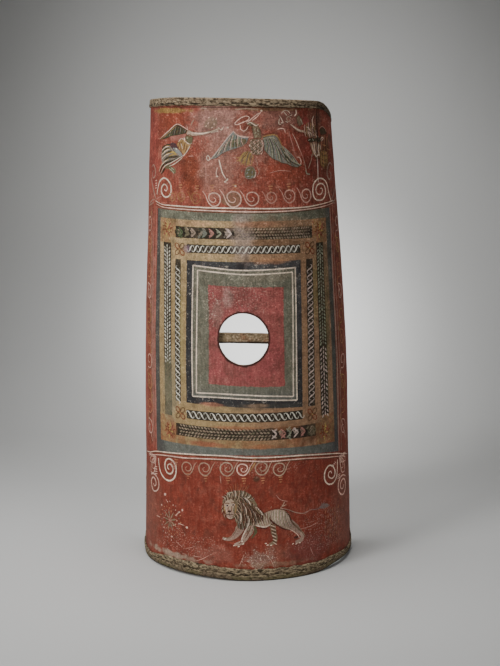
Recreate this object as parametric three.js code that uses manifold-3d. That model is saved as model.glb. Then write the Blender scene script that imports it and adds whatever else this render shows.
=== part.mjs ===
// A Roman scutum: a tall shield of thin curved wood, faced with painted hide and
// bound round its edges with folded rawhide. It stands upright on its lower rim.
//
// Millimetres, +Z up. The bulging, painted face looks towards -Y and the hollow
// opens towards +Y. The origin is at the middle of the footprint, on the ground.
//
// Every piece is first laid out flat, as the boards and hide were before they
// were pressed to shape:
//   x  distance round the outer face from the shield's middle line
//   y  depth behind the outer face (negative stands proud of it)
//   z  height above the ground
// and bend() then wraps it round the shield's curve.

import * as THREE from "three";
import { mergeVertices } from "three/addons/utils/BufferGeometryUtils.js";
import Module from "manifold-3d";

// ---- Driving dimensions ----

const HEIGHT = 1059; // ground to the highest point of the top rim
const GIRTH = 840; // side edge to side edge, measured round the outer face
const BOARD_THICKNESS = 6;
const GAP = 0.3; // between pieces that touch

// The section is a half circle that runs on into straight flanks.
const FOOT_RADIUS = 245;
const RADIUS_TAPER = 17; // lost evenly from foot to top
const RADIUS_PINCH = 28; // lost faster and faster towards the top
const LEAN = 6; // shift of the top towards -X, gained evenly
const LEAN_SWEEP = 12; // shift gained faster and faster

// Half way up, the sides swell outwards a little more.
const SWELL = 3;
const SWELL_ROUND = { from: 180, to: 330 }; // round the face, where it sets in
const SWELL_UP = { from: 180, to: 860 };

// The top edge slopes from its high point and falls away at one corner.
const PEAK_AT = -150; // round the face, where the top is highest
const TOP_SLOPE = 0.02;
const CORNER_FROM = 195;
const CORNER_TO = 330;
const CORNER_DROP = 30;
const SLOPE_ROWS = 2; // rows of facets, counted from the top, that take up the slope

// The round hole where the boss is missing.
const HOLE_AT = { x: -3, z: 544.5 };
const HOLE_HALF_WIDTH = 54;
const HOLE_HALF_HEIGHT = 56.5;
const HOLE_SIDES = 48;

// The split that runs down from the top rim.
const SPLIT_AT = 198;
const SPLIT_FOOT = 955;
const SPLIT_WIDTH = 1.6;

// Folded rawhide round the edges.
const HIDE = 2; // thickness of one layer
const TOP_LIP = { outside: 17, inside: 14 };
const FOOT_LIP = { outside: 31, inside: 22 };
const SIDE_LIP = { outside: 16, inside: 14 };

// The wooden hand grip behind the hole.
const GRIP_HEIGHT = 22.6;
const GRIP_DEPTH = 13;
const GRIP_LENGTH = 310;
const GRIP_AT = 544;
const GRIP_STRAIGHT = 64; // half the length that runs straight behind the hole
const GRIP_TIP_DEPTH = 7;
const GRIP_TIP_TAPER = 45;
const GRIP_CORNER = 3.5;
const GRIP_SLANT = 0.012;

// Facets.
const ROUND_STEPS = 48; // round the curve, over the whole girth
const UP_STEPS = 14;
const SIDE_STEPS = 14;
const GRIP_STEPS = 24;
const CORNER_STEPS = 2;

// The board inside its bindings.
const RIM = HIDE + GAP;
const BOARD_TOP = HEIGHT - RIM;
const ROW_HEIGHT = (BOARD_TOP - RIM) / UP_STEPS;
const SLOPE_FOOT = BOARD_TOP - SLOPE_ROWS * ROW_HEIGHT;

// Colours and finishes.
const PAINTED_HIDE = { color: 0x8f4a3a, roughness: 0.7, metalness: 0 };
const RAWHIDE = { color: 0x7d6f52, roughness: 0.85, metalness: 0 };
const GRIP_WOOD = { color: 0x8a7351, roughness: 0.7, metalness: 0 };

// ---- The shield's curve ----

function smoothStep(from, to, value) {
  return THREE.MathUtils.smoothstep(value, from, to);
}

function radiusAt(z) {
  const t = z / HEIGHT;
  return FOOT_RADIUS - RADIUS_TAPER * t - RADIUS_PINCH * t * t;
}

function leanAt(z) {
  const t = z / HEIGHT;
  return -LEAN * t - LEAN_SWEEP * t * t;
}

// How far the side at x round the face swells outwards at height z.
function swellAt(x, z) {
  const up = (z - SWELL_UP.from) / (SWELL_UP.to - SWELL_UP.from);
  const bulge = Math.sin(Math.PI * THREE.MathUtils.clamp(up, 0, 1)) ** 2;
  return SWELL * bulge * smoothStep(SWELL_ROUND.from, SWELL_ROUND.to, Math.abs(x));
}

// How far the top edge lies below the highest point, at x round the face.
function topDropAt(x) {
  const slope = TOP_SLOPE * Math.abs(x - PEAK_AT);
  return slope + CORNER_DROP * smoothStep(CORNER_FROM, CORNER_TO, x);
}

// The share of that drop at a flat height: none up to SLOPE_FOOT, all at the top.
function slopeShareAt(z) {
  return THREE.MathUtils.clamp((z - SLOPE_FOOT) / (HEIGHT - SLOPE_FOOT), 0, 1);
}

// A flat point's place on the shield.
function bendPoint(flat) {
  const z = flat.z - slopeShareAt(flat.z) * topDropAt(flat.x);
  const radius = radiusAt(z);
  const halfArc = (Math.PI / 2) * radius;
  const round = Math.min(Math.abs(flat.x), halfArc);
  const flank = Math.abs(flat.x) - round;
  const angle = round / radius;
  const across = (radius - flat.y) * Math.sin(angle) + swellAt(flat.x, z);
  const back = radius - (radius - flat.y) * Math.cos(angle) + flank;
  return new THREE.Vector3(Math.sign(flat.x) * across + leanAt(z), back, z);
}

function bend(geometry) {
  const place = geometry.attributes.position;
  const flat = new THREE.Vector3();
  for (let i = 0; i < place.count; i += 1) {
    flat.fromBufferAttribute(place, i);
    const bent = bendPoint(flat);
    place.setXYZ(i, bent.x, bent.y, bent.z);
  }
  geometry.computeVertexNormals();
  return geometry;
}

// ---- Flat pieces ----

function outline(points) {
  return new THREE.Shape(points.map(([a, b]) => new THREE.Vector2(a, b)));
}

function extrude(shape, depth, steps) {
  return new THREE.ExtrudeGeometry(shape, { depth, steps, bevelEnabled: false });
}

// Turns an extrusion of a (depth, height) section to run along x.
function alongX(geometry, start) {
  const place = geometry.attributes.position;
  for (let i = 0; i < place.count; i += 1) {
    place.setXYZ(i, place.getZ(i) + start, place.getX(i), place.getY(i));
  }
  return geometry;
}

// A slab stepped round the curve where its bindings are, then trimmed to end
// short of the full girth, inside them.
function flatBoard(halfGirth, bottom, top) {
  const rise = top - bottom;
  const slab = new THREE.BoxGeometry(
    GIRTH,
    BOARD_THICKNESS,
    rise,
    ROUND_STEPS,
    1,
    UP_STEPS,
  );
  slab.translate(0, BOARD_THICKNESS / 2, bottom + rise / 2);
  const place = slab.attributes.position;
  for (let i = 0; i < place.count; i += 1) {
    place.setX(i, THREE.MathUtils.clamp(place.getX(i), -halfGirth, halfGirth));
  }
  return slab;
}

// The section of a folded strip that wraps an edge: a channel whose floor is at
// edge and whose two lips reach the given heights from it.
function channelSection(edge, direction, lip) {
  const inner = edge + direction * HIDE;
  const outsideTip = edge + direction * lip.outside;
  const insideTip = edge + direction * lip.inside;
  const frontFace = -GAP - HIDE;
  const backFace = BOARD_THICKNESS + GAP + HIDE;
  return [
    [frontFace, edge],
    [backFace, edge],
    [backFace, insideTip],
    [backFace - HIDE, insideTip],
    [backFace - HIDE, inner],
    [-GAP, inner],
    [-GAP, outsideTip],
    [frontFace, outsideTip],
  ];
}

function levelBinding(edge, direction, lip) {
  const section = channelSection(edge, direction, lip);
  const shape = outline(direction > 0 ? section : section.reverse());
  return alongX(extrude(shape, GIRTH, ROUND_STEPS), -GIRTH / 2);
}

function sideBinding(direction) {
  const section = channelSection(-direction * (GIRTH / 2), direction, SIDE_LIP);
  const turned = section.map(([depth, across]) => [across, depth]);
  const shape = outline(direction > 0 ? turned.reverse() : turned);
  const bottom = FOOT_LIP.outside + GAP;
  const top = HEIGHT - TOP_LIP.outside - GAP;
  const strip = extrude(shape, top - bottom, SIDE_STEPS);
  strip.translate(0, 0, bottom);
  return strip;
}

// ---- Joining and cutting ----

const wasm = await Module();
wasm.setup();

function toSolid(geometry) {
  const bare = geometry.clone();
  bare.deleteAttribute("normal");
  bare.deleteAttribute("uv");
  const merged = mergeVertices(bare, 1e-3);
  return new wasm.Manifold(
    new wasm.Mesh({
      numProp: 3,
      vertProperties: Float32Array.from(merged.attributes.position.array),
      triVerts: Uint32Array.from(merged.index.array),
    }),
  );
}

function toGeometry(solid) {
  const mesh = solid.getMesh();
  const geometry = new THREE.BufferGeometry();
  const place = new THREE.BufferAttribute(mesh.vertProperties, 3);
  geometry.setAttribute("position", place);
  geometry.setIndex(new THREE.BufferAttribute(mesh.triVerts, 1));
  geometry.computeVertexNormals();
  return geometry;
}

// ---- The pieces ----

// A straight round cutter through the middle, wider than the board is deep.
function holeCutter() {
  const length = 120;
  const cutter = new THREE.CylinderGeometry(1, 1, length, HOLE_SIDES);
  cutter.scale(HOLE_HALF_WIDTH, 1, HOLE_HALF_HEIGHT);
  cutter.translate(HOLE_AT.x + leanAt(HOLE_AT.z), 0, HOLE_AT.z);
  return cutter;
}

// A thin wedge, point down, that opens the split through the board.
function splitCutter() {
  const above = HEIGHT + 20;
  const half = SPLIT_WIDTH / 2;
  const wedge = outline([
    [SPLIT_AT - half, above],
    [SPLIT_AT, SPLIT_FOOT],
    [SPLIT_AT + half, above],
  ]);
  const slab = extrude(wedge, 3 * BOARD_THICKNESS, 1);
  slab.rotateX(Math.PI / 2);
  slab.translate(0, 2 * BOARD_THICKNESS, 0);
  return bend(slab);
}

function shieldBoard() {
  const blank = bend(flatBoard(GIRTH / 2 - RIM, RIM, BOARD_TOP));
  const bored = toSolid(blank).subtract(toSolid(holeCutter()));
  return toGeometry(bored.subtract(toSolid(splitCutter())));
}

// How deep the grip's face lies: on the board's inner face towards its ends,
// and straight across behind the hole.
function gripFaceDepth(x) {
  const bed = BOARD_THICKNESS + GAP;
  if (Math.abs(x) >= GRIP_STRAIGHT) {
    return bed;
  }
  const radius = radiusAt(GRIP_AT);
  const chord = (radius - bed) * Math.cos(GRIP_STRAIGHT / radius);
  return radius - chord / Math.cos(x / radius);
}

// A bar with rounded edges, thinned to its two ends.
function grip() {
  const corner = GRIP_CORNER;
  const section = new THREE.Shape();
  section.moveTo(corner, 0);
  section.lineTo(GRIP_DEPTH - corner, 0);
  section.absarc(GRIP_DEPTH - corner, corner, corner, -Math.PI / 2, 0);
  section.lineTo(GRIP_DEPTH, GRIP_HEIGHT - corner);
  section.absarc(GRIP_DEPTH - corner, GRIP_HEIGHT - corner, corner, 0, Math.PI / 2);
  section.lineTo(corner, GRIP_HEIGHT);
  section.absarc(corner, GRIP_HEIGHT - corner, corner, Math.PI / 2, Math.PI);
  section.lineTo(0, corner);
  section.absarc(corner, corner, corner, Math.PI, 1.5 * Math.PI);
  const bar = new THREE.ExtrudeGeometry(section, {
    depth: GRIP_LENGTH,
    steps: GRIP_STEPS,
    curveSegments: CORNER_STEPS,
    bevelEnabled: false,
  });
  alongX(bar, -GRIP_LENGTH / 2);
  const place = bar.attributes.position;
  for (let i = 0; i < place.count; i += 1) {
    const x = place.getX(i);
    const fromTip = GRIP_LENGTH / 2 - Math.abs(x);
    const body = smoothStep(0, GRIP_TIP_TAPER, fromTip);
    const depth = THREE.MathUtils.lerp(GRIP_TIP_DEPTH, GRIP_DEPTH, body);
    const y = gripFaceDepth(x) + (place.getY(i) * depth) / GRIP_DEPTH;
    const z = GRIP_AT - GRIP_HEIGHT / 2 + place.getZ(i) - GRIP_SLANT * x;
    place.setXYZ(i, x + HOLE_AT.x, y, z);
  }
  return bend(bar);
}

// ---- The model ----

const group = new THREE.Group();

function addPiece(name, geometry, finish) {
  const mesh = new THREE.Mesh(geometry, new THREE.MeshStandardMaterial(finish));
  mesh.name = name;
  group.add(mesh);
}

addPiece("shield_board", shieldBoard(), PAINTED_HIDE);
addPiece("rim_binding_top", bend(levelBinding(HEIGHT, -1, TOP_LIP)), RAWHIDE);
addPiece("rim_binding_bottom", bend(levelBinding(0, 1, FOOT_LIP)), RAWHIDE);
addPiece("rim_binding_left", bend(sideBinding(1)), RAWHIDE);
addPiece("rim_binding_right", bend(sideBinding(-1)), RAWHIDE);
addPiece("grip", grip(), GRIP_WOOD);

// The origin goes to the middle of the footprint, on the ground.
const bounds = new THREE.Box3().setFromObject(group);
const middle = bounds.getCenter(new THREE.Vector3());
group.position.set(-middle.x, -middle.y, -bounds.min.z);

export default group;
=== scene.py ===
"""A Roman scutum: a tall half-round shield of thin wood, faced with painted hide.

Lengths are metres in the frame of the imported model. The painted layout is given in
millimetres on the flat, as (distance round the face from its middle line, height), and
ShieldCurve wraps it, like every other flat piece, round the form of the shield.
"""

from __future__ import annotations

import logging
import math
from dataclasses import dataclass, field
from enum import Enum
from typing import Callable, Sequence, Union

import bmesh
import bpy
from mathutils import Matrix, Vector, noise


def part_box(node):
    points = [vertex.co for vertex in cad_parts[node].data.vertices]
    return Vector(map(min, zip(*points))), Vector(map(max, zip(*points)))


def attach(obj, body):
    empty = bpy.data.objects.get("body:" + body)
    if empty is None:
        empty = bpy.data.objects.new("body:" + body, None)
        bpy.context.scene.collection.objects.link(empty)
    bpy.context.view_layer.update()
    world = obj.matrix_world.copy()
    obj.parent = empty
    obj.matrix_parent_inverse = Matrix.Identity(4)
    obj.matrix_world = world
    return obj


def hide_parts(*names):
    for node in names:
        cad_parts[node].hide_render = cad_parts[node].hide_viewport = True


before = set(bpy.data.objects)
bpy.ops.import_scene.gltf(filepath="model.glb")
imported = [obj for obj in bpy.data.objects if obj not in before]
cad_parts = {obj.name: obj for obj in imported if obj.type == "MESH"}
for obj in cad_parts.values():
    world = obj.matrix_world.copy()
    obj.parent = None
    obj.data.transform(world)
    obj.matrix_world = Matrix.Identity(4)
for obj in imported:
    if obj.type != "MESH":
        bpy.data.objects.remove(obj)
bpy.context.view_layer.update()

LOG = logging.getLogger("scutum")
MM = 0.001
BODY = "root"
LAYOUT = "layout"  # UV map: distance round the face, height, both in metres
PIGMENT = "pigment"  # corner colour of the paint films; its alpha is how well it covers

Flat = tuple[float, float]
Colour = tuple[float, float, float]
Pin = Union[float, tuple, bpy.types.NodeSocket]


# ---------------------------------------------------------------- small tools


def linear(code: str) -> Colour:
    """Turns a six-figure colour code into linear red, green and blue."""
    shares = [int(code[i:i + 2], 16) / 255 for i in (0, 2, 4)]
    return tuple((c / 12.92 if c <= 0.04045 else ((c + 0.055) / 1.055) ** 2.4 for c in shares))


def mix(a: float, b: float, share: float) -> float:
    """The value a share of the way from a to b."""
    return a + (b - a) * share


def ease(low: float, high: float, value: float) -> float:
    """A smooth step from 0 at low to 1 at high."""
    t = min(1.0, max(0.0, (value - low) / (high - low)))
    return t * t * (3 - 2 * t)


def through_three(values: Sequence[float], t: float) -> float:
    """A smooth curve through three values, at t = 0, 1/2 and 1."""
    start, middle, end = values
    return start * (1 - t) * (1 - 2 * t) + middle * 4 * t * (1 - t) + end * t * (2 * t - 1)


def along_stations(stations: Sequence[float], t: float) -> float:
    """The value at t, from 0 to 1, along evenly spaced stations."""
    place = min(max(t, 0.0), 1.0) * (len(stations) - 1)
    index = min(int(place), len(stations) - 2)
    return mix(stations[index], stations[index + 1], place - index)


def wobble(x: float, y: float, seed: float) -> float:
    """A smooth pseudo-random value between about -1 and 1."""
    return noise.noise(Vector((x, y, seed)))


def smooth_path(points: Sequence[Flat], spacing: float, closed: bool = False) -> list[Flat]:
    """Runs a smooth curve through the given points.

    Args:
        points: the points it goes through, in millimetres.
        spacing: about how far apart the returned points lie.
        closed: whether the curve returns to its first point.

    Returns:
        The points of the curve.
    """
    count = len(points)
    spans = count if closed else count - 1
    path: list[Flat] = []
    for span in range(spans):
        if closed:
            p0, p1, p2, p3 = (points[(span + k) % count] for k in (-1, 0, 1, 2))
        else:
            p0, p1 = (points[max(span - 1, 0)], points[span])
            p2, p3 = (points[span + 1], points[min(span + 2, count - 1)])
        steps = max(1, round(math.dist(p1, p2) / spacing))
        for step in range(steps):
            t = step / steps
            weights = (-0.5 * t + t * t - 0.5 * t ** 3, 1 - 2.5 * t * t + 1.5 * t ** 3,
                0.5 * t + 2 * t * t - 1.5 * t ** 3, -0.5 * t * t + 0.5 * t ** 3)
            path.append(tuple((sum((w * p[axis] for w, p in zip(weights, (p0, p1, p2,
                p3)))) for axis in (0, 1))))
    if not closed:
        path.append(tuple(points[-1]))
    return path


def spiral(centre: Flat, radii: Sequence[float], start: float, sweep: float) -> list[Flat]:
    """Points on a spiral that winds round centre.

    Args:
        centre: the middle of the spiral.
        radii: its radius at even steps of the sweep.
        start: the angle where it starts, in degrees.
        sweep: how far it turns, in degrees; negative is clockwise.

    Returns:
        The points, one about every 24 degrees.
    """
    count = max(3, round(abs(sweep) / 24))
    points = []
    for index in range(count + 1):
        t = index / count
        angle = math.radians(start + sweep * t)
        radius = along_stations(radii, t)
        points.append((centre[0] + radius * math.cos(angle), centre[1] + radius * math.sin(angle)))
    return points


def deselect() -> None:
    """Leaves nothing selected."""
    bpy.ops.object.select_all(action="DESELECT")


def apply_modifier(piece: bpy.types.Object, kind: str, **settings: object) -> None:
    """Adds a modifier of that kind to a piece, sets it up and applies it."""
    deselect()
    bpy.context.view_layer.objects.active = piece
    piece.select_set(True)
    modifier = piece.modifiers.new(kind.lower(), kind)
    for name, value in settings.items():
        setattr(modifier, name, value)
    bpy.ops.object.modifier_apply(modifier=modifier.name)


def smooth_shaded(piece: bpy.types.Object, angle: float = 35.0) -> None:
    """Shades a piece smooth, but for edges sharper than angle degrees."""
    deselect()
    bpy.context.view_layer.objects.active = piece
    piece.select_set(True)
    bpy.ops.object.shade_smooth_by_angle(angle=math.radians(angle))


def flat_grid(name: str, columns: int, rows: int) -> bpy.types.Object:
    """Adds a grid whose vertices hold their column and row numbers as x and y.

    Args:
        name: the new object's name.
        columns: cells along x.
        rows: cells along y.

    Returns:
        The grid.
    """
    deselect()
    bpy.ops.mesh.primitive_grid_add(x_subdivisions=columns, y_subdivisions=rows, size=1)
    grid = bpy.context.object
    grid.name = name
    for vertex in grid.data.vertices:
        column = round((vertex.co.x + 0.5) * columns)
        row = round((vertex.co.y + 0.5) * rows)
        vertex.co = (column, row, 0)
    return grid


def tube_from_grid(name: str, around: int, along: int, place: Callable[[int, int],
        Sequence[float]]) -> bpy.types.Object:
    """Rolls a grid into a closed tube with filled ends.

    Args:
        name: the new object's name.
        around: cells round the tube.
        along: cells along it.
        place: gives the flat place of a vertex from its number round and along.

    Returns:
        The tube, as one closed mesh.
    """
    tube = flat_grid(name, around, along)
    for vertex in tube.data.vertices:
        vertex.co = place(round(vertex.co.x) % around, round(vertex.co.y))
    bpy.ops.object.mode_set(mode="EDIT")
    bpy.ops.mesh.select_all(action="SELECT")
    bpy.ops.mesh.remove_doubles(threshold=1e-07)
    bpy.ops.mesh.select_all(action="DESELECT")
    bpy.ops.mesh.select_non_manifold()
    bpy.ops.mesh.fill_holes(sides=0)
    bpy.ops.mesh.select_all(action="SELECT")
    bpy.ops.mesh.normals_make_consistent(inside=False)
    bpy.ops.object.mode_set(mode="OBJECT")
    return tube


def set_layout(piece: bpy.types.Object, place: Callable[[Vector], Flat]) -> None:
    """Writes the layout UV map from the places of a piece's vertices while it is flat."""
    for layer in list(piece.data.uv_layers):
        piece.data.uv_layers.remove(layer)
    layer = piece.data.uv_layers.new(name=LAYOUT)
    corners = [place(vertex.co) for vertex in piece.data.vertices]
    for loop in piece.data.loops:
        layer.data[loop.index].uv = corners[loop.vertex_index]


# ---------------------------------------------------------------- the shield's form


@dataclass(frozen=True)
class ShieldCurve:
    """The form that flat pieces are wrapped on: half a tapering tube with straight flanks."""
    nose: float
    height: float = 1.059
    girth: float = 0.84
    thickness: float = 0.006
    foot_radius: float = 0.245
    taper: float = 0.017
    pinch: float = 0.028
    lean: float = 0.006
    lean_sweep: float = 0.012
    peak_at: float = -0.15
    top_slope: float = 0.02
    corner_from: float = 0.195
    corner_to: float = 0.33
    corner_drop: float = 0.03
    slope_foot: float = 0.90607
    swell: float = 0.003
    swell_round: Flat = (0.18, 0.33)
    swell_up: Flat = (0.18, 0.86)
    warp: float = 0.0006
    wear_left: float = 3.5 * MM
    wear_right: float = 9.0 * MM

    def radius_at(self, z: float) -> float:
        """The outer radius at height z."""
        t = z / self.height
        return self.foot_radius - self.taper * t - self.pinch * t * t

    def lean_at(self, z: float) -> float:
        """How far the middle line stands to the side at height z."""
        t = z / self.height
        return -self.lean * t - self.lean_sweep * t * t

    def true_height(self, s: float, z: float) -> float:
        """The real height of a flat point, near the sloping top lower than its flat one."""
        share = min(max((z - self.slope_foot) / (self.height - self.slope_foot), 0.0), 1.0)
        corner = self.corner_drop * ease(self.corner_from, self.corner_to, s)
        return z - share * (self.top_slope * abs(s - self.peak_at) + corner)

    def swell_at(self, s: float, z: float) -> float:
        """How far the side swells outwards half way up."""
        low, high = self.swell_up
        bulge = math.sin(math.pi * min(max((z - low) / (high - low), 0.0), 1.0)) ** 2
        return self.swell * bulge * ease(*self.swell_round, abs(s))

    def warp_at(self, s: float, z: float) -> float:
        """The old board's gentle unevenness, outwards."""
        slow = math.sin(19.0 * s + 9.0 * z + 0.7) * math.sin(13.0 * z - 4.0 * s)
        quick = math.sin(41.0 * s - 23.0 * z + 2.0) * math.sin(37.0 * z + 11.0 * s)
        return self.warp * (slow + 0.4 * quick)

    def wrap(self, s: float, depth: float, z: float) -> Vector:
        """Wraps a point at its real height round the form.

        Args:
            s: distance round the outer face from the middle line.
            depth: depth behind the outer face.
            z: height.

        Returns:
            The place in the frame.
        """
        radius = self.radius_at(z)
        around = min(abs(s), math.pi / 2 * radius)
        flank = abs(s) - around
        angle = around / radius
        reach = radius - depth + self.warp_at(s, z)
        across = math.copysign(reach * math.sin(angle) + self.swell_at(s, z), s) + self.lean_at(z)
        return Vector((across, self.nose + radius - reach * math.cos(angle) + flank, z))

    def bend(self, s: float, depth: float, z: float) -> Vector:
        """Wraps a point of the flat blank, giving it the sloping top and the worn foot."""
        worn = self.wear_right * ease(0.16, 0.25, s) * (1 - 0.75 * ease(0.28, 0.43, s))
        worn += self.wear_left * ease(-0.3, -0.2, s) * (1 - ease(-0.1, 0.0, s))
        z += worn * (1 - ease(0.0, 0.1, z))
        return self.wrap(s, depth, self.true_height(s, z))


@dataclass(frozen=True)
class PanelEdge:
    """One edge of the nested frames painted round the middle, in millimetres.

    Each side is given at three stations: top and bottom from left to right, left and right
    from bottom to top.
    """
    top: tuple[float, float, float]
    bottom: tuple[float, float, float]
    left: tuple[float, float, float]
    right: tuple[float, float, float]

    def across(self, s: float) -> float:
        """The share of the way from the left side to the right one."""
        return (s - self.left[1]) / (self.right[1] - self.left[1])

    def up(self, z: float) -> float:
        """The share of the way from the bottom to the top."""
        return (z - self.bottom[1]) / (self.top[1] - self.bottom[1])

    def side_place(self, side: "Side", along: float) -> float:
        """Where one side runs, at a distance or height along it."""
        if side in (Side.TOP, Side.BOTTOM):
            stations = self.top if side is Side.TOP else self.bottom
            return through_three(stations, self.across(along))
        stations = self.left if side is Side.LEFT else self.right
        return through_three(stations, self.up(along))


class Side(Enum):
    """A side of the shield or of the painted panel."""
    TOP = "top"
    BOTTOM = "bottom"
    LEFT = "left"
    RIGHT = "right"


@dataclass(frozen=True)
class Panel:
    """The nested painted frames, from the outside in."""
    border: PanelEdge = PanelEdge((821, 816, 822), (269, 287, 267), (-245, -242, -226), (252, 243.5, 237))
    outer_ochre: PanelEdge = PanelEdge((801, 798.5, 800), (299, 302.5, 293), (-226.5, -224, -212), (235,
        226, 217))
    laurel: PanelEdge = PanelEdge((785, 784.5, 785), (319, 320, 318), (-208, -206, -201), (215.5, 208, 202))
    middle_ochre: PanelEdge = PanelEdge((760, 759.5, 759), (347, 347, 346), (-183, -181, -174.5), (186.5,
        181, 178))
    guilloche: PanelEdge = PanelEdge((747.5, 747, 747), (361, 361, 361), (-172, -169, -161), (167,
        166.5, 165.5))
    inner_ochre: PanelEdge = PanelEdge((729, 728.5, 728), (381, 381.5, 381), (-156, -152, -145.5), (146.5,
        146.5, 146))
    night: PanelEdge = PanelEdge((713, 712, 713), (397, 394, 388), (-140, -137, -130), (131, 131, 131))
    field: PanelEdge = PanelEdge((702, 694.5, 697), (413, 414.5, 404), (-123, -121, -114), (116.5,
        116.5, 116.5))
    crimson: PanelEdge = PanelEdge((661, 658, 656), (444, 441, 438), (-83, -80, -79), (87, 86.5, 86.5))


PANEL = Panel()


def between(outer: PanelEdge, inner: PanelEdge, side: Side, along: float, share: float) -> Flat:
    """A place inside the band between two edges.

    Args:
        outer: the band's outer edge.
        inner: its inner edge.
        side: which side of the panel.
        along: distance round the face or height along that side.
        share: 0 at the outer edge and 1 at the inner one.

    Returns:
        The flat place, in millimetres.
    """
    value = mix(outer.side_place(side, along), inner.side_place(side, along), share)
    return (along, value) if side in (Side.TOP, Side.BOTTOM) else (value, along)


# ---------------------------------------------------------------- shader tools


class Graph:
    """Lays out the nodes of one material or node group."""

    def __init__(self, tree: bpy.types.NodeTree) -> None:
        """Starts on an empty tree."""
        self.tree = tree

    def put(self, socket: bpy.types.NodeSocket, value: Pin) -> None:
        """Links a socket to another one, or sets its own value or colour code."""
        if isinstance(value, str):
            value = linear(value)
        if isinstance(value, bpy.types.NodeSocket):
            self.tree.links.new(value, socket)
        elif isinstance(value, tuple) and socket.type == "RGBA":
            socket.default_value = (*value[:3], 1.0)
        else:
            socket.default_value = value

    def node(self, kind: str, pins: dict[Union[str, int], Pin], **settings: object) -> bpy.types.Node:
        """Adds a node.

        Args:
            kind: the node's type.
            pins: its inputs, by name or number.
            settings: its options.

        Returns:
            The node.
        """
        node = self.tree.nodes.new(kind)
        for name, value in settings.items():
            setattr(node, name, value)
        for pin, value in pins.items():
            self.put(node.inputs[pin], value)
        return node

    def math(self, operation: str, a: Pin, b: Pin = 0.0) -> bpy.types.NodeSocket:
        """One sum on one or two values."""
        node = self.node("ShaderNodeMath", {0: a, 1: b}, operation=operation)
        return node.outputs[0]

    def product(self, *values: Pin) -> bpy.types.NodeSocket:
        """All the values multiplied."""
        result = values[0]
        for value in values[1:]:
            result = self.math("MULTIPLY", result, value)
        return result

    def plus(self, a: Pin, b: Pin) -> bpy.types.NodeSocket:
        """The two values added."""
        return self.math("ADD", a, b)

    def less(self, a: Pin, b: Pin) -> bpy.types.NodeSocket:
        """The first value less the second."""
        return self.math("SUBTRACT", a, b)

    def inverse(self, value: Pin) -> bpy.types.NodeSocket:
        """One minus the value."""
        return self.less(1.0, value)

    def vector(self, operation: str, a: Pin, b: Pin) -> bpy.types.NodeSocket:
        """One sum on two vectors."""
        node = self.node("ShaderNodeVectorMath", {0: a, 1: b}, operation=operation)
        return node.outputs["Value" if operation in ("DOT_PRODUCT", "LENGTH") else "Vector"]

    def blend(self, share: Pin, a: Pin, b: Pin) -> bpy.types.NodeSocket:
        """Mixes two colours."""
        node = self.node("ShaderNodeMix", {0: share, 6: a, 7: b}, data_type="RGBA")
        return node.outputs[2]

    def tint(self, colour: Pin, over: Pin, *shares: Pin) -> bpy.types.NodeSocket:
        """Lays one colour over another, as far as the shares multiplied say."""
        return self.blend(self.product(*shares), colour, over)

    def rise(self, value: Pin, low: float, high: float) -> bpy.types.NodeSocket:
        """A smooth step from 0 at low to 1 at high; it falls where low is the larger."""
        pins = {0: value, 1: low, 2: high, 3: 0.0, 4: 1.0}
        return self.node("ShaderNodeMapRange", pins, interpolation_type="SMOOTHSTEP").outputs[0]

    def clouds(self, place: Pin, scale: float, detail: float = 3.0,
            twist: float = 0.0) -> bpy.types.NodeSocket:
        """Soft noise of about 0.2 to 0.8."""
        pins = {"Vector": place, "Scale": scale, "Detail": detail, "Distortion": twist}
        return self.node("ShaderNodeTexNoise", pins).outputs[0]

    def stretched(self, place: Pin, s: float, z: float, offset: float = 0.0) -> bpy.types.NodeSocket:
        """The place scaled by s round the face and z up it, for streaks."""
        scaled = self.vector("MULTIPLY", place, (s, z, 1.0))
        return self.vector("ADD", scaled, (offset, offset, offset))

    def shaded(self, colour: Pin, tone: Pin, share: Pin) -> bpy.types.NodeSocket:
        """A colour made lighter and darker by a tone about 1, as far as share says."""
        swing = self.plus(self.product(self.less(tone, 1.0), share), 1.0)
        grey = self.node("ShaderNodeCombineXYZ", {0: swing, 1: swing, 2: swing}).outputs[0]
        return self.vector("MULTIPLY", colour, grey)

    def pick(self, vector: Pin, axis: int) -> bpy.types.NodeSocket:
        """One part of a vector."""
        return self.node("ShaderNodeSeparateXYZ", {0: vector}).outputs[axis]

    def layout(self) -> bpy.types.NodeSocket:
        """The place on the flat, in metres."""
        return self.node("ShaderNodeUVMap", {}, uv_map=LAYOUT).outputs[0]

    def group(self, tree: bpy.types.NodeTree, pins: dict[str, Pin]) -> bpy.types.Node:
        """Places a node group."""
        node = self.tree.nodes.new("ShaderNodeGroup")
        node.node_tree = tree
        for pin, value in pins.items():
            self.put(node.inputs[pin], value)
        return node

    def bump(self, height: Pin, distance: float, strength: float = 1.0) -> bpy.types.NodeSocket:
        """A bumped normal."""
        pins = {"Height": height, "Distance": distance, "Strength": strength}
        return self.node("ShaderNodeBump", pins).outputs[0]

    def surface(self, colour: Pin, roughness: Pin, normal: Pin, specular: float) -> None:
        """Ends a material in a plain Principled surface."""
        pins = {"Base Color": colour, "Roughness": roughness, "Normal": normal,
            "Specular IOR Level": specular}
        shader = self.node("ShaderNodeBsdfPrincipled", pins)
        output = self.tree.nodes.new("ShaderNodeOutputMaterial")
        self.tree.links.new(shader.outputs[0], output.inputs[0])


def new_material(name: str) -> tuple[bpy.types.Material, Graph]:
    """An empty material and the graph that fills it."""
    material = bpy.data.materials.new(name)
    material.use_nodes = True
    material.node_tree.nodes.clear()
    return (material, Graph(material.node_tree))


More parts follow.
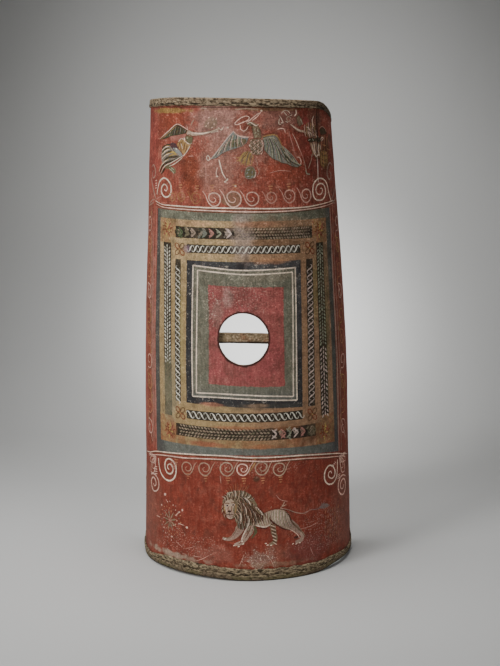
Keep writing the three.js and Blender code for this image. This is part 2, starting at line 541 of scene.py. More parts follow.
def new_group(name: str, inputs: dict[str, str], outputs: dict[str, str]) -> tuple[Graph,
        bpy.types.NodeOutputs, bpy.types.Node]:
    """An empty node group.

    Args:
        name: the group's name.
        inputs: its input names, each with its socket kind (Float, Vector or Color).
        outputs: its output names, each with its socket kind.

    Returns:
        The graph that fills it, its inputs as sockets, and its output node.
    """
    tree = bpy.data.node_groups.new(name, "ShaderNodeTree")
    for label, kind in inputs.items():
        tree.interface.new_socket(label, in_out="INPUT", socket_type="NodeSocket" + kind)
    for label, kind in outputs.items():
        tree.interface.new_socket(label, in_out="OUTPUT", socket_type="NodeSocket" + kind)
    given = tree.nodes.new("NodeGroupInput").outputs
    return (Graph(tree), given, tree.nodes.new("NodeGroupOutput"))


# ---------------------------------------------------------------- shared effects


def smudge_group() -> bpy.types.NodeTree:
    """A soft ragged patch round a centre, for wear, stains and clouds of colour."""
    pins = {"Place": "Vector", "Centre": "Vector", "Reach": "Vector", "Ragged": "Float"}
    graph, given, out = new_group("smudge", pins, {"Mask": "Float"})
    offset = graph.vector("SUBTRACT", given["Place"], given["Centre"])
    scaled = graph.vector("DIVIDE", offset, given["Reach"])
    distance = graph.vector("LENGTH", scaled, (0.0, 0.0, 0.0))
    rough = graph.less(graph.clouds(given["Place"], 45.0, 6.0), 0.5)
    shifted = graph.plus(distance, graph.product(rough, given["Ragged"]))
    graph.put(out.inputs["Mask"], graph.rise(shifted, 1.1, 0.45))
    return graph.tree


def edge_group() -> bpy.types.NodeTree:
    """Whether a place lies inside a PanelEdge, with hand-painted edges."""
    pins = {"Place": "Vector", "Top": "Vector", "Bottom": "Vector", "Left": "Vector", "Right": "Vector"}
    pins |= {"Ragged": "Float"}
    outputs = {"Mask": "Float", "Across": "Float", "Upright": "Float"}
    graph, given, out = new_group("inside an edge", pins, outputs)
    s = graph.pick(given["Place"], 0)
    z = graph.pick(given["Place"], 1)
    left, right = (graph.pick(given["Left"], 1), graph.pick(given["Right"], 1))
    bottom, top = (graph.pick(given["Bottom"], 1), graph.pick(given["Top"], 1))

    def share(value: Pin, low: Pin, high: Pin) -> bpy.types.NodeSocket:
        """The share of the way from low to high."""
        return graph.math("DIVIDE", graph.less(value, low), graph.less(high, low))

    def weights(t: Pin) -> bpy.types.NodeSocket:
        """The weights of through_three at t, as a vector."""
        rest = graph.inverse(t)
        double = graph.math("MULTIPLY", t, 2.0)
        parts = {0: graph.product(rest, graph.inverse(double)), 1: graph.product(double, rest, 2.0),
            2: graph.product(t, graph.less(double, 1.0))}
        return graph.node("ShaderNodeCombineXYZ", parts).outputs[0]
    across, up = (weights(share(s, left, right)), weights(share(z, bottom, top)))
    shake = graph.less(graph.clouds(given["Place"], 120.0, 4.0), 0.5)
    shake = graph.product(shake, given["Ragged"])

    def within(value: Pin, low: str, high: str, weight: Pin) -> bpy.types.NodeSocket:
        """How far a value lies inside two opposite sides."""
        above = graph.less(value, graph.vector("DOT_PRODUCT", given[low], weight))
        below = graph.less(graph.vector("DOT_PRODUCT", given[high], weight), value)
        return graph.plus(graph.math("MINIMUM", above, below), shake)
    level = graph.rise(within(s, "Left", "Right", up), -0.0005, 0.0005)
    upright = graph.rise(within(z, "Bottom", "Top", across), -0.0005, 0.0005)
    graph.put(out.inputs["Across"], level)
    graph.put(out.inputs["Upright"], upright)
    graph.put(out.inputs["Mask"], graph.product(level, upright))
    return graph.tree


def wear_group() -> bpy.types.NodeTree:
    """Tone, flakes, streaks, scratches and pores of old paint on hide."""
    outputs = {"Tone": "Float", "Flakes": "Float", "Streaks": "Float", "Mottle": "Float"}
    outputs |= {"Scratches": "Float", "Height": "Float"}
    graph, given, out = new_group("old paint wear", {"Place": "Vector", "Loss": "Float"}, outputs)
    place = given["Place"]
    grit = graph.clouds(place, 620.0, 3.0)
    fine = graph.clouds(place, 260.0, 5.0, 0.4)
    patch = graph.clouds(graph.stretched(place, 1.0, 1.0, 1.3), 82.0, 5.0, 0.9)
    broad = graph.clouds(graph.stretched(place, 1.0, 1.0, 2.6), 27.0, 6.0, 0.6)
    streaks = graph.clouds(graph.stretched(place, 1.0, 0.12), 190.0, 5.0, 0.5)
    chance = graph.plus(graph.product(fine, 0.6), graph.product(patch, 0.4))
    start = graph.less(0.66, graph.product(given["Loss"], 0.22))
    flakes = graph.rise(graph.less(chance, start), 0.0, 0.035)
    tone = graph.plus(graph.product(graph.less(fine, 0.5), 1.9), 1.0)
    for field_noise, gain in ((patch, 1.5), (grit, 1.1), (streaks, 0.5), (broad, 1.4)):
        swing = graph.plus(graph.product(graph.less(field_noise, 0.5), gain), 1.0)
        tone = graph.product(tone, swing)
    tone = graph.math("MINIMUM", graph.math("MAXIMUM", tone, 0.3), 2.0)
    veins = graph.clouds(graph.stretched(place, 1.0, 0.7, 5.0), 30.0, 5.0, 1.2)
    line = graph.rise(graph.math("ABSOLUTE", graph.less(veins, 0.5)), 0.011, 0.002)
    scratches = graph.product(line, graph.rise(fine, 0.45, 0.6))
    weave = graph.clouds(graph.stretched(place, 1.0, 1.0, 3.0), 900.0, 2.0)
    relief = graph.plus(graph.product(weave, 0.3), graph.product(fine, 0.6))
    relief = graph.plus(relief, graph.product(patch, 0.4))
    relief = graph.less(relief, graph.product(flakes, 0.2))
    graph.put(out.inputs["Tone"], tone)
    graph.put(out.inputs["Flakes"], flakes)
    graph.put(out.inputs["Streaks"], graph.rise(streaks, 0.38, 0.66))
    graph.put(out.inputs["Mottle"], graph.rise(broad, 0.36, 0.64))
    graph.put(out.inputs["Scratches"], scratches)
    graph.put(out.inputs["Height"], graph.less(relief, graph.product(scratches, 0.2)))
    return graph.tree


def grain_group() -> bpy.types.NodeTree:
    """Wood grain that runs along the first axis of the layout."""
    pins = {"Place": "Vector", "Light": "Color", "Dark": "Color", "Fineness": "Float"}
    graph, given, out = new_group("wood grain", pins, {"Colour": "Color", "Height": "Float"})
    run = graph.stretched(given["Place"], 0.07, 1.0)
    figure = graph.node("ShaderNodeTexNoise", {"Vector": run, "Scale": given["Fineness"], "Detail": 6.0,
        "Distortion": 0.6}).outputs[0]
    fibres = graph.clouds(graph.stretched(given["Place"], 0.03, 1.0, 5.0), 1500.0, 3.0)
    both = graph.plus(graph.product(figure, 0.65), graph.product(fibres, 0.35))
    graph.put(out.inputs["Colour"], graph.blend(graph.rise(both, 0.34, 0.66), given["Dark"],
        given["Light"]))
    graph.put(out.inputs["Height"], both)
    return graph.tree


# ---------------------------------------------------------------- the painted ground


@dataclass(frozen=True)
class Smudge:
    """A cloud of one colour on the painted face, in millimetres."""
    centre: Flat
    reach: Flat
    colour: str
    strength: float
    ragged: float = 1.2


@dataclass(frozen=True)
class PaintedGround:
    """The red field with its nested bands, as every paint film fades into it."""
    smudge: bpy.types.NodeTree
    edge: bpy.types.NodeTree
    wear: bpy.types.NodeTree
    red: str = "a05140"
    deep_red: str = "8a3e32"
    low_red: str = "853728"
    bloom: str = "b07462"
    border_grey: str = "84836f"
    ochre: str = "c6a97b"
    brown_ochre: str = "a0785c"
    leaf_dark: str = "241f1a"
    night: str = "454344"
    field_grey: str = "75715f"
    crimson: str = "9a5650"
    worn_places: tuple[tuple[Flat, Flat, float], ...] = (((28, 50), (48, 30), 0.75), ((190, 100), (110, 70),
        0.35), ((-150, 70), (110, 40), 0.4), ((-20, 950), (120, 100), 0.22), ((20, 260), (130, 26), 0.3),
        ((150, 780), (70, 30), 0.3), ((-5, 640), (70, 60), 0.35), ((-75, 610), (20, 50), 0.5))
    hole_at: Flat = (-3, 544.5)
    hole_half: Flat = (54.5, 57)
    field_smudges: tuple[Smudge, ...] = (Smudge((-255, 950), (48, 130), "9c4a40", 0.75),
        Smudge((-165, 1015), (60, 35), "8c4430", 0.8), Smudge((-112, 900), (34, 60), "86422c", 0.85),
        Smudge((-40, 1010), (80, 60), "b5887a", 0.8), Smudge((-50, 915), (55, 75), "ac7a6a", 0.75),
        Smudge((20, 960), (60, 60), "a06f60", 0.55), Smudge((14, 1004), (34, 28), "8c4636", 0.85, 0.8),
        Smudge((85, 1015), (60, 32), "93675a", 0.7), Smudge((105, 905), (70, 36), "9c4c38", 0.6),
        Smudge((160, 960), (28, 80), "86382f", 0.6), Smudge((185, 1005), (34, 35), "7c5a48", 0.6),
        Smudge((225, 930), (40, 60), "5c3a2c", 0.5), Smudge((-262, 560), (16, 320), "a08272", 0.5, 1.8),
        Smudge((-285, 560), (16, 320), "8a4a33", 0.6, 1.8), Smudge((268, 560), (26, 320), "855040",
        0.6, 1.8), Smudge((28, 50), (34, 22), "a08678", 0.6, 3.0), Smudge((60, 60), (60, 26), "8a5a4a",
        0.5, 2.0), Smudge((-75, 55), (60, 30), "a06556", 0.5, 2.0), Smudge((-330, 120), (120, 140),
        "8c5a4a", 0.6), Smudge((320, 120), (120, 160), "8a5a4c", 0.6), Smudge((150, 60), (70, 45),
        "7c4540", 0.6), Smudge((21, 233), (9, 8), "4c4030", 0.7), Smudge((-190, 36), (100, 9), "b4a08a",
        0.75, 2.2), Smudge((60, 36), (90, 7), "9c8068", 0.5, 2.2), Smudge((-170, 1031), (88, 6), "a88a4c",
        0.75, 1.6), Smudge((60, 1033), (130, 4), "8c7048", 0.5, 1.6))
    top_smudges: tuple[Smudge, ...] = (Smudge((0, 765), (28, 70), "b09c92", 0.55), Smudge((75, 790),
        (110, 22), "8c6c52", 0.45, 2.0), Smudge((105, 772), (50, 18), "6a5a48", 0.45, 2.0),
        Smudge((-190, 420), (26, 110), "9c9478", 0.5), Smudge((205, 640), (30, 200), "5c4e3a", 0.4, 2.0),
        Smudge((190, 330), (60, 40), "5f4a38", 0.5, 2.0), Smudge((-40, 310), (190, 12), "8c7450",
        0.35, 2.0), Smudge((-35, 632), (16, 26), "b08a80", 0.6), Smudge((-60, 600), (20, 30),
        "9a8678", 0.4), Smudge((55, 500), (40, 50), "8c3f44", 0.35), Smudge((-130, 738), (14, 12),
        "8f7080", 0.6), Smudge((60, 680), (60, 14), "9c907a", 0.4, 2.0), Smudge((40, 395), (120, 8),
        "56524a", 0.4, 2.0), Smudge((-78, 398), (34, 6), "b87c60", 0.75, 0.8), Smudge((24, 398), (30, 6),
        "a8876a", 0.5, 0.8), Smudge((-20, 348), (60, 6), "b0704e", 0.7, 1.0), Smudge((90, 345), (40, 6),
        "a06a48", 0.6, 1.0), Smudge((-92, 308), (56, 7), "a05c44", 0.75, 1.0), Smudge((30, 306), (44, 7),
        "a86c4a", 0.6, 1.2), Smudge((-186, 330), (20, 30), "9c6248", 0.6, 1.4), Smudge((-120, 792), (70, 7),
        "c89a72", 0.5, 1.2), Smudge((40, 792), (60, 7), "a87458", 0.6, 1.4), Smudge((80, 752), (80, 9),
        "74573f", 0.8, 1.4), Smudge((60, 712), (50, 8), "b07c58", 0.5, 1.2), Smudge((-150, 560), (9, 150),
        "a89a60", 0.4, 1.2), Smudge((172, 640), (9, 90), "7c7a44", 0.45, 1.2), Smudge((212, 560), (9, 160),
        "74724a", 0.4, 1.4))

    def _edge(self, graph: Graph, place: Pin, edge: PanelEdge, ragged: float) -> bpy.types.Node:
        """The inside of one edge of the panel."""
        pins: dict[str, Pin] = {"Place": place, "Ragged": ragged * MM}
        for name in ("top", "bottom", "left", "right"):
            pins[name.capitalize()] = tuple(value * MM for value in getattr(edge, name))
        return graph.group(self.edge, pins)

    def _smudged(self, graph: Graph, place: Pin, colour: Pin, smudges: Sequence[Smudge]) -> Pin:
        """A colour with smudges over it."""
        for spot in smudges:
            mask = graph.group(self.smudge, {"Place": place, "Centre": (spot.centre[0] * MM,
                spot.centre[1] * MM, 0.0), "Reach": (spot.reach[0] * MM, spot.reach[1] * MM, 1.0),
                "Ragged": spot.ragged}).outputs[0]
            colour = graph.tint(colour, spot.colour, mask, spot.strength)
        return colour

    def _red_field(self, graph: Graph, place: Pin, wear: bpy.types.Node) -> Pin:
        """The worn red ground, mottled, with painted shade deeper to the right and towards the bottom."""
        s = graph.pick(place, 0)
        # Real mottle plus painted shade: the red turns deeper towards the right, the side away from the
        # light.
        mottle_and_right_shade = graph.plus(graph.product(wear.outputs["Mottle"], 0.7), graph.rise(s, -0.1, 0.25))
        colour = graph.tint(self.red, self.deep_red, mottle_and_right_shade, 0.6)
        # Painted shade: the red turns deeper and darker towards the bottom, as under light from above.
        low = graph.rise(graph.pick(place, 1), 0.38, 0.22)
        colour = graph.tint(colour, self.low_red, low, 0.9)
        bloom = graph.rise(graph.clouds(graph.stretched(place, 1.0, 0.7, 6.0), 60.0, 6.0, 0.8), 0.5, 0.68)
        bloom = graph.product(bloom, graph.less(1.0, graph.product(low, 0.7)))
        colour = graph.tint(colour, self.bloom, bloom, 0.5)
        streaked = graph.product(wear.outputs["Streaks"], graph.less(0.18, graph.product(low, 0.1)))
        colour = graph.tint(colour, "b4806c", streaked)
        return self._smudged(graph, place, colour, self.field_smudges)

    def _hole_edge_shade(self, graph: Graph, place: Pin, colour: Pin) -> Pin:
        """Painted shade: a dark ragged ring round the open hole, where its cut edge lies in shadow."""
        centre = (self.hole_at[0] * MM, self.hole_at[1] * MM, 0.0)
        reach = (self.hole_half[0] * MM, self.hole_half[1] * MM, 1.0)
        offset = graph.vector("DIVIDE", graph.vector("SUBTRACT", place, centre), reach)
        distance = graph.vector("LENGTH", offset, (0.0, 0.0, 0.0))
        ragged = graph.product(graph.less(graph.clouds(place, 90.0, 5.0), 0.5), 0.12)
        # Painted shade round the hole's cut edge.
        ring = graph.rise(graph.plus(distance, ragged), 1.095, 1.04)
        return graph.tint(colour, "2a1c16", ring, 0.85)

    def _panel(self, graph: Graph, place: Pin, wear: bpy.types.Node, colour: Pin) -> Pin:
        """The nested bands, from the outside in."""
        mottle, streaks, flakes = (wear.outputs["Mottle"], wear.outputs["Streaks"], wear.outputs["Flakes"])
        s, z = (graph.pick(place, 0), graph.pick(place, 1))
        grey = graph.tint(self.border_grey, "6a6a5c", mottle, 0.5)
        # Painted shade: the grey border turns darker and browner towards the right, away from the light.
        grey = graph.tint(grey, "54503f", graph.rise(s, 0.02, 0.22), 0.45)
        grey = graph.tint(grey, "5f6467", graph.rise(z, 0.4, 0.3), 0.5)
        grey = graph.tint(grey, "54524d", graph.rise(s, -0.2, -0.225), 0.95)
        grey = graph.tint(grey, "4c4a4c", graph.rise(s, 0.2, 0.24), 0.7)
        colour = graph.blend(self._edge(graph, place, PANEL.border, 2.5).outputs[0], colour, grey)
        side_shade = graph.rise(s, -0.06, 0.05)
        ochre = graph.tint(self.ochre, self.brown_ochre, side_shade, 0.85)
        ochre = graph.tint(ochre, "86684a", mottle, 0.35)
        aged = graph.product(graph.rise(z, 0.72, 0.62), graph.inverse(side_shade), 0.5)
        ochre = graph.tint(ochre, "9c8256", aged)
        ochre = graph.tint(ochre, "a88468", graph.rise(s, 0.14, 0.2), 0.5)
        worn = graph.product(graph.rise(z, 0.345, 0.31), graph.rise(graph.clouds(place, 34.0, 5.0),
            0.42, 0.6))
        ochre = graph.tint(ochre, "8a4c34", worn, 0.6)
        outer = self._edge(graph, place, PANEL.outer_ochre, 2.5)
        colour = graph.blend(outer.outputs[0], colour, ochre)
        gate = self._edge(graph, place, PANEL.guilloche, 2.0)
        inner_gate = self._edge(graph, place, PANEL.night, 2.0)
        corner = graph.product(outer.outputs[0], graph.inverse(gate.outputs["Across"]),
            graph.inverse(gate.outputs["Upright"]))
        patch = graph.tint("a06040", "b08c58", graph.rise(graph.clouds(place, 110.0, 3.0), 0.42, 0.58))
        colour = graph.blend(graph.product(corner, 0.55), colour, patch)
        laurel = self._edge(graph, place, PANEL.laurel, 2.0)
        run = graph.math("MAXIMUM", gate.outputs["Across"], gate.outputs["Upright"])
        leaf_ground = graph.tint(self.leaf_dark, "443c31", mottle, 0.6)
        colour = graph.blend(graph.product(laurel.outputs[0], run, 0.95), colour, leaf_ground)
        middle = self._edge(graph, place, PANEL.middle_ochre, 2.0)
        colour = graph.blend(middle.outputs[0], colour, ochre)
        inner_run = graph.math("MAXIMUM", inner_gate.outputs["Across"], inner_gate.outputs["Upright"])
        chain_ground = graph.tint("2a2620", "4a4236", mottle, 0.5)
        colour = graph.blend(graph.product(gate.outputs[0], inner_run, 0.95), colour, chain_ground)
        colour = graph.blend(self._edge(graph, place, PANEL.inner_ochre, 2.0).outputs[0], colour, ochre)
        night = graph.tint(self.night, "63635f", mottle, 0.5)
        dim = graph.math("MAXIMUM", graph.rise(z, 0.6, 0.45), graph.rise(s, -0.1, -0.13))
        night = graph.tint(night, "2c2b2d", dim, 0.7)
        night = graph.tint(night, "9a9488", flakes, 0.5)
        colour = graph.blend(inner_gate.outputs[0], colour, night)
        field_grey = graph.tint(self.field_grey, "67695b", mottle, 0.5)
        field_grey = graph.tint(field_grey, "97917f", streaks, 0.25)
        bluish = graph.product(graph.rise(z, 0.45, 0.4), 0.5)
        field_grey = graph.tint(field_grey, "585c60", bluish)
        colour = graph.blend(self._edge(graph, place, PANEL.field, 2.0).outputs[0], colour, field_grey)
        crimson = graph.tint(self.crimson, "b4776e", streaks, 0.35)
        crimson = graph.tint(crimson, "9c4648", mottle, 0.5)
        crimson = graph.tint(crimson, "a85c54", graph.rise(s, 0.0, 0.06), 0.5)
        return graph.blend(self._edge(graph, place, PANEL.crimson, 6.0).outputs[0], colour, crimson)

    def build(self) -> bpy.types.NodeTree:
        """Makes the group.

        Returns:
            A node group from Place to Colour and Height.
        """
        outputs = {"Colour": "Color", "Height": "Float", "Tone": "Float"}
        graph, given, out = new_group("painted ground", {"Place": "Vector"}, outputs)
        place = given["Place"]
        wear = graph.group(self.wear, {"Place": place, "Loss": 0.35})
        colour = self._red_field(graph, place, wear)
        colour = self._panel(graph, place, wear, colour)
        colour = self._smudged(graph, place, colour, self.top_smudges)
        grime = graph.rise(graph.clouds(graph.stretched(place, 1.0, 0.6, 9.0), 55.0, 7.0, 0.6), 0.5, 0.72)
        colour = graph.tint(colour, "4a382c", grime, 0.35)
        worn_top = graph.plus(graph.product(graph.rise(graph.pick(place, 1), 0.3, 0.8), 0.12), 0.06)
        colour = graph.tint(colour, "cbb29e", wear.outputs["Flakes"], worn_top)
        colour = graph.tint(colour, "4a3026", wear.outputs["Scratches"], 0.4)
        specks = graph.rise(graph.clouds(graph.stretched(place, 1.0, 1.0, 11.0), 300.0, 5.0), 0.57, 0.62)
        for centre, reach, share in self.worn_places:
            pins = {"Centre": (centre[0] * MM, centre[1] * MM, 0.0), "Reach": (reach[0] * MM,
                reach[1] * MM, 1.0)}
            spot = graph.group(self.smudge, {"Place": place, "Ragged": 1.6, **pins}).outputs[0]
            colour = graph.tint(colour, "d8c2ae", specks, spot, share)
        dents = graph.rise(graph.clouds(graph.stretched(place, 1.0, 0.8, 13.0), 240.0, 5.0), 0.59, 0.64)
        upper = graph.product(dents, graph.rise(graph.pick(place, 1), 0.45, 0.9), 0.3)
        colour = graph.tint(colour, "4a2c22", upper)
        rough = graph.plus(graph.product(graph.rise(graph.pick(place, 1), 0.3, 0.75), 0.35), 0.6)
        colour = graph.shaded(colour, wear.outputs["Tone"], rough)
        colour = self._hole_edge_shade(graph, place, colour)
        graph.put(out.inputs["Colour"], colour)
        graph.put(out.inputs["Height"], wear.outputs["Height"])
        graph.put(out.inputs["Tone"], wear.outputs["Tone"])
        return graph.tree


# ---------------------------------------------------------------- finishes


@dataclass(frozen=True)
class PaintedHideFinish:
    """Matt old paint on the hide that faces the board."""
    ground: bpy.types.NodeTree
    specular: float = 0.25

    def material(self) -> bpy.types.Material:
        """Makes the material."""
        material, graph = new_material("painted_hide")
        ground = graph.group(self.ground, {"Place": graph.layout()})
        roughness = graph.plus(0.62, graph.product(ground.outputs["Height"], 0.25))
        normal = graph.bump(ground.outputs["Height"], 0.0012, 0.9)
        graph.surface(ground.outputs["Colour"], roughness, normal, self.specular)
        return material


@dataclass(frozen=True)
class PaintFilmFinish:
    """Brushed pigment that has worn through to the ground under it."""
    ground: bpy.types.NodeTree
    wear: bpy.types.NodeTree
    loss: float = 0.3
    specular: float = 0.25

    def material(self) -> bpy.types.Material:
        """Makes the material."""
        material, graph = new_material("paint_film")
        place = graph.layout()
        ground = graph.group(self.ground, {"Place": place})
        wear = graph.group(self.wear, {"Place": graph.stretched(place, 1.0, 1.0, 7.0), "Loss": self.loss})
        pigment = graph.node("ShaderNodeAttribute", {}, attribute_name=PIGMENT)
        tone = graph.rise(graph.clouds(place, 190.0, 4.0), 0.45, 0.75)
        colour = graph.tint(pigment.outputs["Color"], "6a5644", tone, 0.22)
        colour = graph.shaded(colour, wear.outputs["Tone"], 0.85)
        left = graph.inverse(graph.product(wear.outputs["Flakes"], 0.75))
        rubbed = graph.rise(graph.clouds(graph.stretched(place, 1.0, 1.0, 4.0), 380.0, 4.0), 0.4, 0.52)
        rubbed = graph.plus(graph.product(rubbed, 0.2), 0.8)
        cover = graph.product(pigment.outputs["Alpha"], left, rubbed)
        colour = graph.blend(cover, ground.outputs["Colour"], colour)
        roughness = graph.plus(0.58, graph.product(wear.outputs["Height"], 0.25))
        graph.surface(colour, roughness, graph.bump(wear.outputs["Height"], 0.0005, 0.6), self.specular)
        return material


@dataclass(frozen=True)
class WoodFinish:
    """Bare old wood."""
    name: str
    grain: bpy.types.NodeTree
    light: str
    dark: str
    stain: str
    fineness: float
    seams: float = 0.0
    foxing: float = 0.5
    # Heights of a band of painted shade along the lower edge, darkest below; when given, grit specks are
    # added too.
    grit_and_lower_shade: tuple[float, ...] = ()

    def material(self) -> bpy.types.Material:
        """Makes the material."""
        material, graph = new_material(self.name)
        place = graph.layout()
        if self.seams:
            strip = graph.math("FLOOR", graph.math("DIVIDE", graph.pick(place, 1), self.seams))
            shift = graph.node("ShaderNodeCombineXYZ", {0: graph.product(strip, 0.37),
                1: graph.product(strip, 0.11)})
            place = graph.vector("ADD", place, shift.outputs[0])
        pins = {"Place": place, "Light": linear(self.light), "Dark": linear(self.dark),
            "Fineness": self.fineness}
        wood = graph.group(self.grain, pins)
        stain = graph.rise(graph.clouds(graph.stretched(place, 0.5, 1.0, 2.0), 60.0, 5.0), 0.45, 0.7)
        colour = graph.tint(wood.outputs["Colour"], self.stain, stain, self.foxing)
        colour = graph.tint(colour, "3b2e20", graph.rise(graph.clouds(place, 30.0, 6.0), 0.5, 0.75), 0.4)
        if self.grit_and_lower_shade:
            height = graph.pick(graph.node("ShaderNodeTexCoord", {}).outputs["Object"], 2)
            grit = graph.clouds(graph.stretched(place, 1.0, 1.0, 8.0), 210.0, 6.0)
            colour = graph.tint(colour, "d0b89c", graph.rise(grit, 0.54, 0.62), 0.6)
            colour = graph.tint(colour, "3c2e22", graph.rise(grit, 0.44, 0.36), 0.6)
            # Painted shade along the grip's lower edge, which faces away from the light.
            colour = graph.tint(colour, "1e1610", graph.rise(height, *self.grit_and_lower_shade), 0.9)
        roughness = graph.plus(0.6, graph.product(wood.outputs["Height"], 0.25))
        graph.surface(colour, roughness, graph.bump(wood.outputs["Height"], 0.0008, 0.7), 0.2)
        return material


@dataclass(frozen=True)
class RawhideFinish:
    """Old folded rawhide, crusted along its laps, with a broken line of painted shade along its hollow row.
    """
    name: str
    hollow: float
    crest: float
    corner_shade: float = 0.0
    foot_shade: float = 0.0
    pale: str = "c0aa8a"
    mid: str = "947f66"
    dark: str = "453829"
    green: str = "7c7250"

    def material(self) -> bpy.types.Material:
        """Makes the material."""
        material, graph = new_material(self.name)
        place = graph.layout()
        s, inward = (graph.pick(place, 0), graph.pick(place, 1))
        fibres = graph.clouds(graph.stretched(place, 0.22, 1.0), 560.0, 6.0, 0.5)
        crust = graph.clouds(graph.stretched(place, 0.6, 1.0, 4.0), 170.0, 7.0, 0.8)
        cloud = graph.clouds(graph.stretched(place, 0.5, 1.0, 6.0), 42.0, 4.0, 0.4)
        tone = graph.plus(graph.product(fibres, 0.45), graph.product(crust, 0.55))
        colour = graph.tint(self.dark, self.mid, graph.rise(tone, 0.36, 0.56))
        pale = graph.product(graph.rise(tone, 0.44, 0.62), graph.rise(inward, self.crest - 0.008,
            self.crest))
        colour = graph.tint(colour, self.pale, pale, 0.8)
        olive = graph.product(graph.rise(cloud, 0.45, 0.62), graph.rise(inward, self.crest,
            self.crest - 0.006))
        colour = graph.tint(colour, self.green, olive, 0.5)
        colour = graph.tint(colour, "6e5a48", graph.rise(cloud, 0.55, 0.4), 0.3)
        # Painted shade: a dark broken line along the hollow row, where the slits and laps lie in shadow.
        uneven = graph.product(graph.less(cloud, 0.5), 0.012)
        gap = graph.math("ABSOLUTE", graph.less(graph.plus(inward, uneven), self.hollow))
        broken = graph.rise(graph.clouds(graph.stretched(place, 0.3, 1.0, 2.0), 190.0, 3.0), 0.44, 0.56)
        colour = graph.tint(colour, "1c140d", graph.rise(gap, 0.0032, 0.0008), broken, 0.9)
        pits = graph.rise(graph.clouds(graph.stretched(place, 0.5, 1.0, 9.0), 260.0, 6.0, 0.6), 0.47, 0.38)
        colour = graph.tint(colour, "2c241a", pits, 0.7)
        foot = graph.product(graph.rise(inward, 0.0045, 0.0012), self.foot_shade)
        colour = graph.tint(colour, "2a2219", foot)
        corner = graph.product(graph.rise(s, 0.185, 0.202), self.corner_shade)
        colour = graph.tint(colour, "33271f", corner)
        graph.surface(colour, 0.85, graph.bump(tone, 0.0014, 0.8), 0.2)
        return material


# ---------------------------------------------------------------- board


@dataclass
class ShieldBoard:
    """The curved body: strips of wood under the painted hide, with the open hole and the split."""
    curve: ShieldCurve
    face: bpy.types.Material
    edge: bpy.types.Material
    back: bpy.types.Material
    rim: float = 2.3 * MM
    columns: int = 150
    row_height: float = 6.2 * MM
    strip_width: float = 0.0655
    seam_half: float = 0.8 * MM
    seam_depth: float = 0.9 * MM
    hole_at: Flat = (-0.003, 0.5445)
    hole_half: Flat = (0.0543, 0.0565)
    hole_flare: float = 0.231
    split_at: float = 0.198
    split_foot: float = 0.955
    split_half: float = 0.9 * MM

    def _seams(self) -> list[float]:
        """The heights of the seams between the strips on the back."""
        count = int(self.curve.height / self.strip_width)
        return [self.strip_width * (index + 1) for index in range(count)]

    def _row_heights(self) -> list[float]:
        """The heights of the rows of vertices: even ones, and three at each seam."""
        low, high = (self.rim, self.curve.height - self.rim)
        seams = [z for z in self._seams() if z < high - 0.02]
        count = round((high - low) / self.row_height)
        even = [mix(low, high, index / count) for index in range(count + 1)]
        clear = [z for z in even if all(abs(z - seam) > 2.5 * self.seam_half for seam in seams)]
        grooves = [seam + side * self.seam_half for seam in seams for side in (-1, 0, 1)]
        return sorted(clear + grooves)

    def _slab(self) -> bpy.types.Object:
        """The flat board, a closed slab with grooves along the seams of its back."""
        rows = self._row_heights()
        slab = flat_grid("shield_board_painted", self.columns, len(rows) - 1)
        half = self.curve.girth / 2 - self.rim
        for vertex in slab.data.vertices:
            s = mix(-half, half, vertex.co.x / self.columns)
            vertex.co = (s, 0.0, rows[round(vertex.co.y)])
        apply_modifier(slab, "SOLIDIFY", thickness=self.curve.thickness, offset=-1.0)
        seams = self._seams()
        for vertex in slab.data.vertices:
            if vertex.co.y > self.curve.thickness / 2 and min((abs(vertex.co.z - z)
                    for z in seams)) < 1e-05:
                vertex.co.y -= self.seam_depth
        return slab

    def _hole_cutter(self) -> bpy.types.Object:
        """A slightly uneven round bar, where the missing boss was."""
        deselect()
        bpy.ops.mesh.primitive_cylinder_add(vertices=120, radius=1.0, depth=0.04, rotation=(math.pi / 2,
            0, 0))
        cutter = bpy.context.object
        bpy.ops.object.transform_apply(rotation=True)
        for vertex in cutter.data.vertices:
            rough = 1 + 0.012 * wobble(vertex.co.x * 3, vertex.co.z * 3, 4.2)
            rough += 0.006 * wobble(vertex.co.x * 14, vertex.co.z * 14, 1.7)
            flare = 1 + vertex.co.y / self.hole_flare
            x = self.hole_at[0] + self.hole_half[0] * vertex.co.x * rough * flare
            z = self.hole_at[1] + self.hole_half[1] * vertex.co.z * rough
            vertex.co = (x, vertex.co.y, z)
        return cutter

    def _split_cutter(self) -> bpy.types.Object:
        """A thin wedge, point down, with a slightly crooked run."""
        steps = 12
        cutter = flat_grid("split", 1, steps)
        top = self.curve.height + 0.01
        for vertex in cutter.data.vertices:
            up = vertex.co.y / steps
            half = self.split_half * (0.15 + 0.85 * up) if up > 0 else 0.0
            crook = 0.0012 * wobble(up * 5, 0.3, 2.0) * min(1.0, up * 4)
            side = 1 if vertex.co.x > 0.5 else -1
            vertex.co = (self.split_at + crook + side * max(half, 5e-05), -0.01, mix(self.split_foot, top,
                up))
        apply_modifier(cutter, "SOLIDIFY", thickness=0.03, offset=-1.0)
        return cutter

    def _cut(self, slab: bpy.types.Object, cutter: bpy.types.Object) -> None:
        """Cuts one shape out of the slab and throws the cutter away."""
        apply_modifier(slab, "BOOLEAN", operation="DIFFERENCE", solver="EXACT", object=cutter)
        bpy.data.objects.remove(cutter)

    def build(self) -> bpy.types.Object:
        """Makes the board.

        Returns:
            The finished piece, in place.
        """
        slab = self._slab()
        self._cut(slab, self._hole_cutter())
        self._cut(slab, self._split_cutter())
        slab.data.materials.clear()
        for material in (self.face, self.edge, self.back):
            slab.data.materials.append(material)
        for polygon in slab.data.polygons:
            faces_out = polygon.normal.y
            polygon.material_index = 0 if faces_out < -0.5 else 2 if faces_out > 0.5 else 1
        set_layout(slab, lambda co: (co.x, self.curve.true_height(co.x, co.z)))
        for vertex in slab.data.vertices:
            vertex.co = self.curve.bend(*vertex.co)
        smooth_shaded(slab)
        return slab


# ---------------------------------------------------------------- rawhide bindings


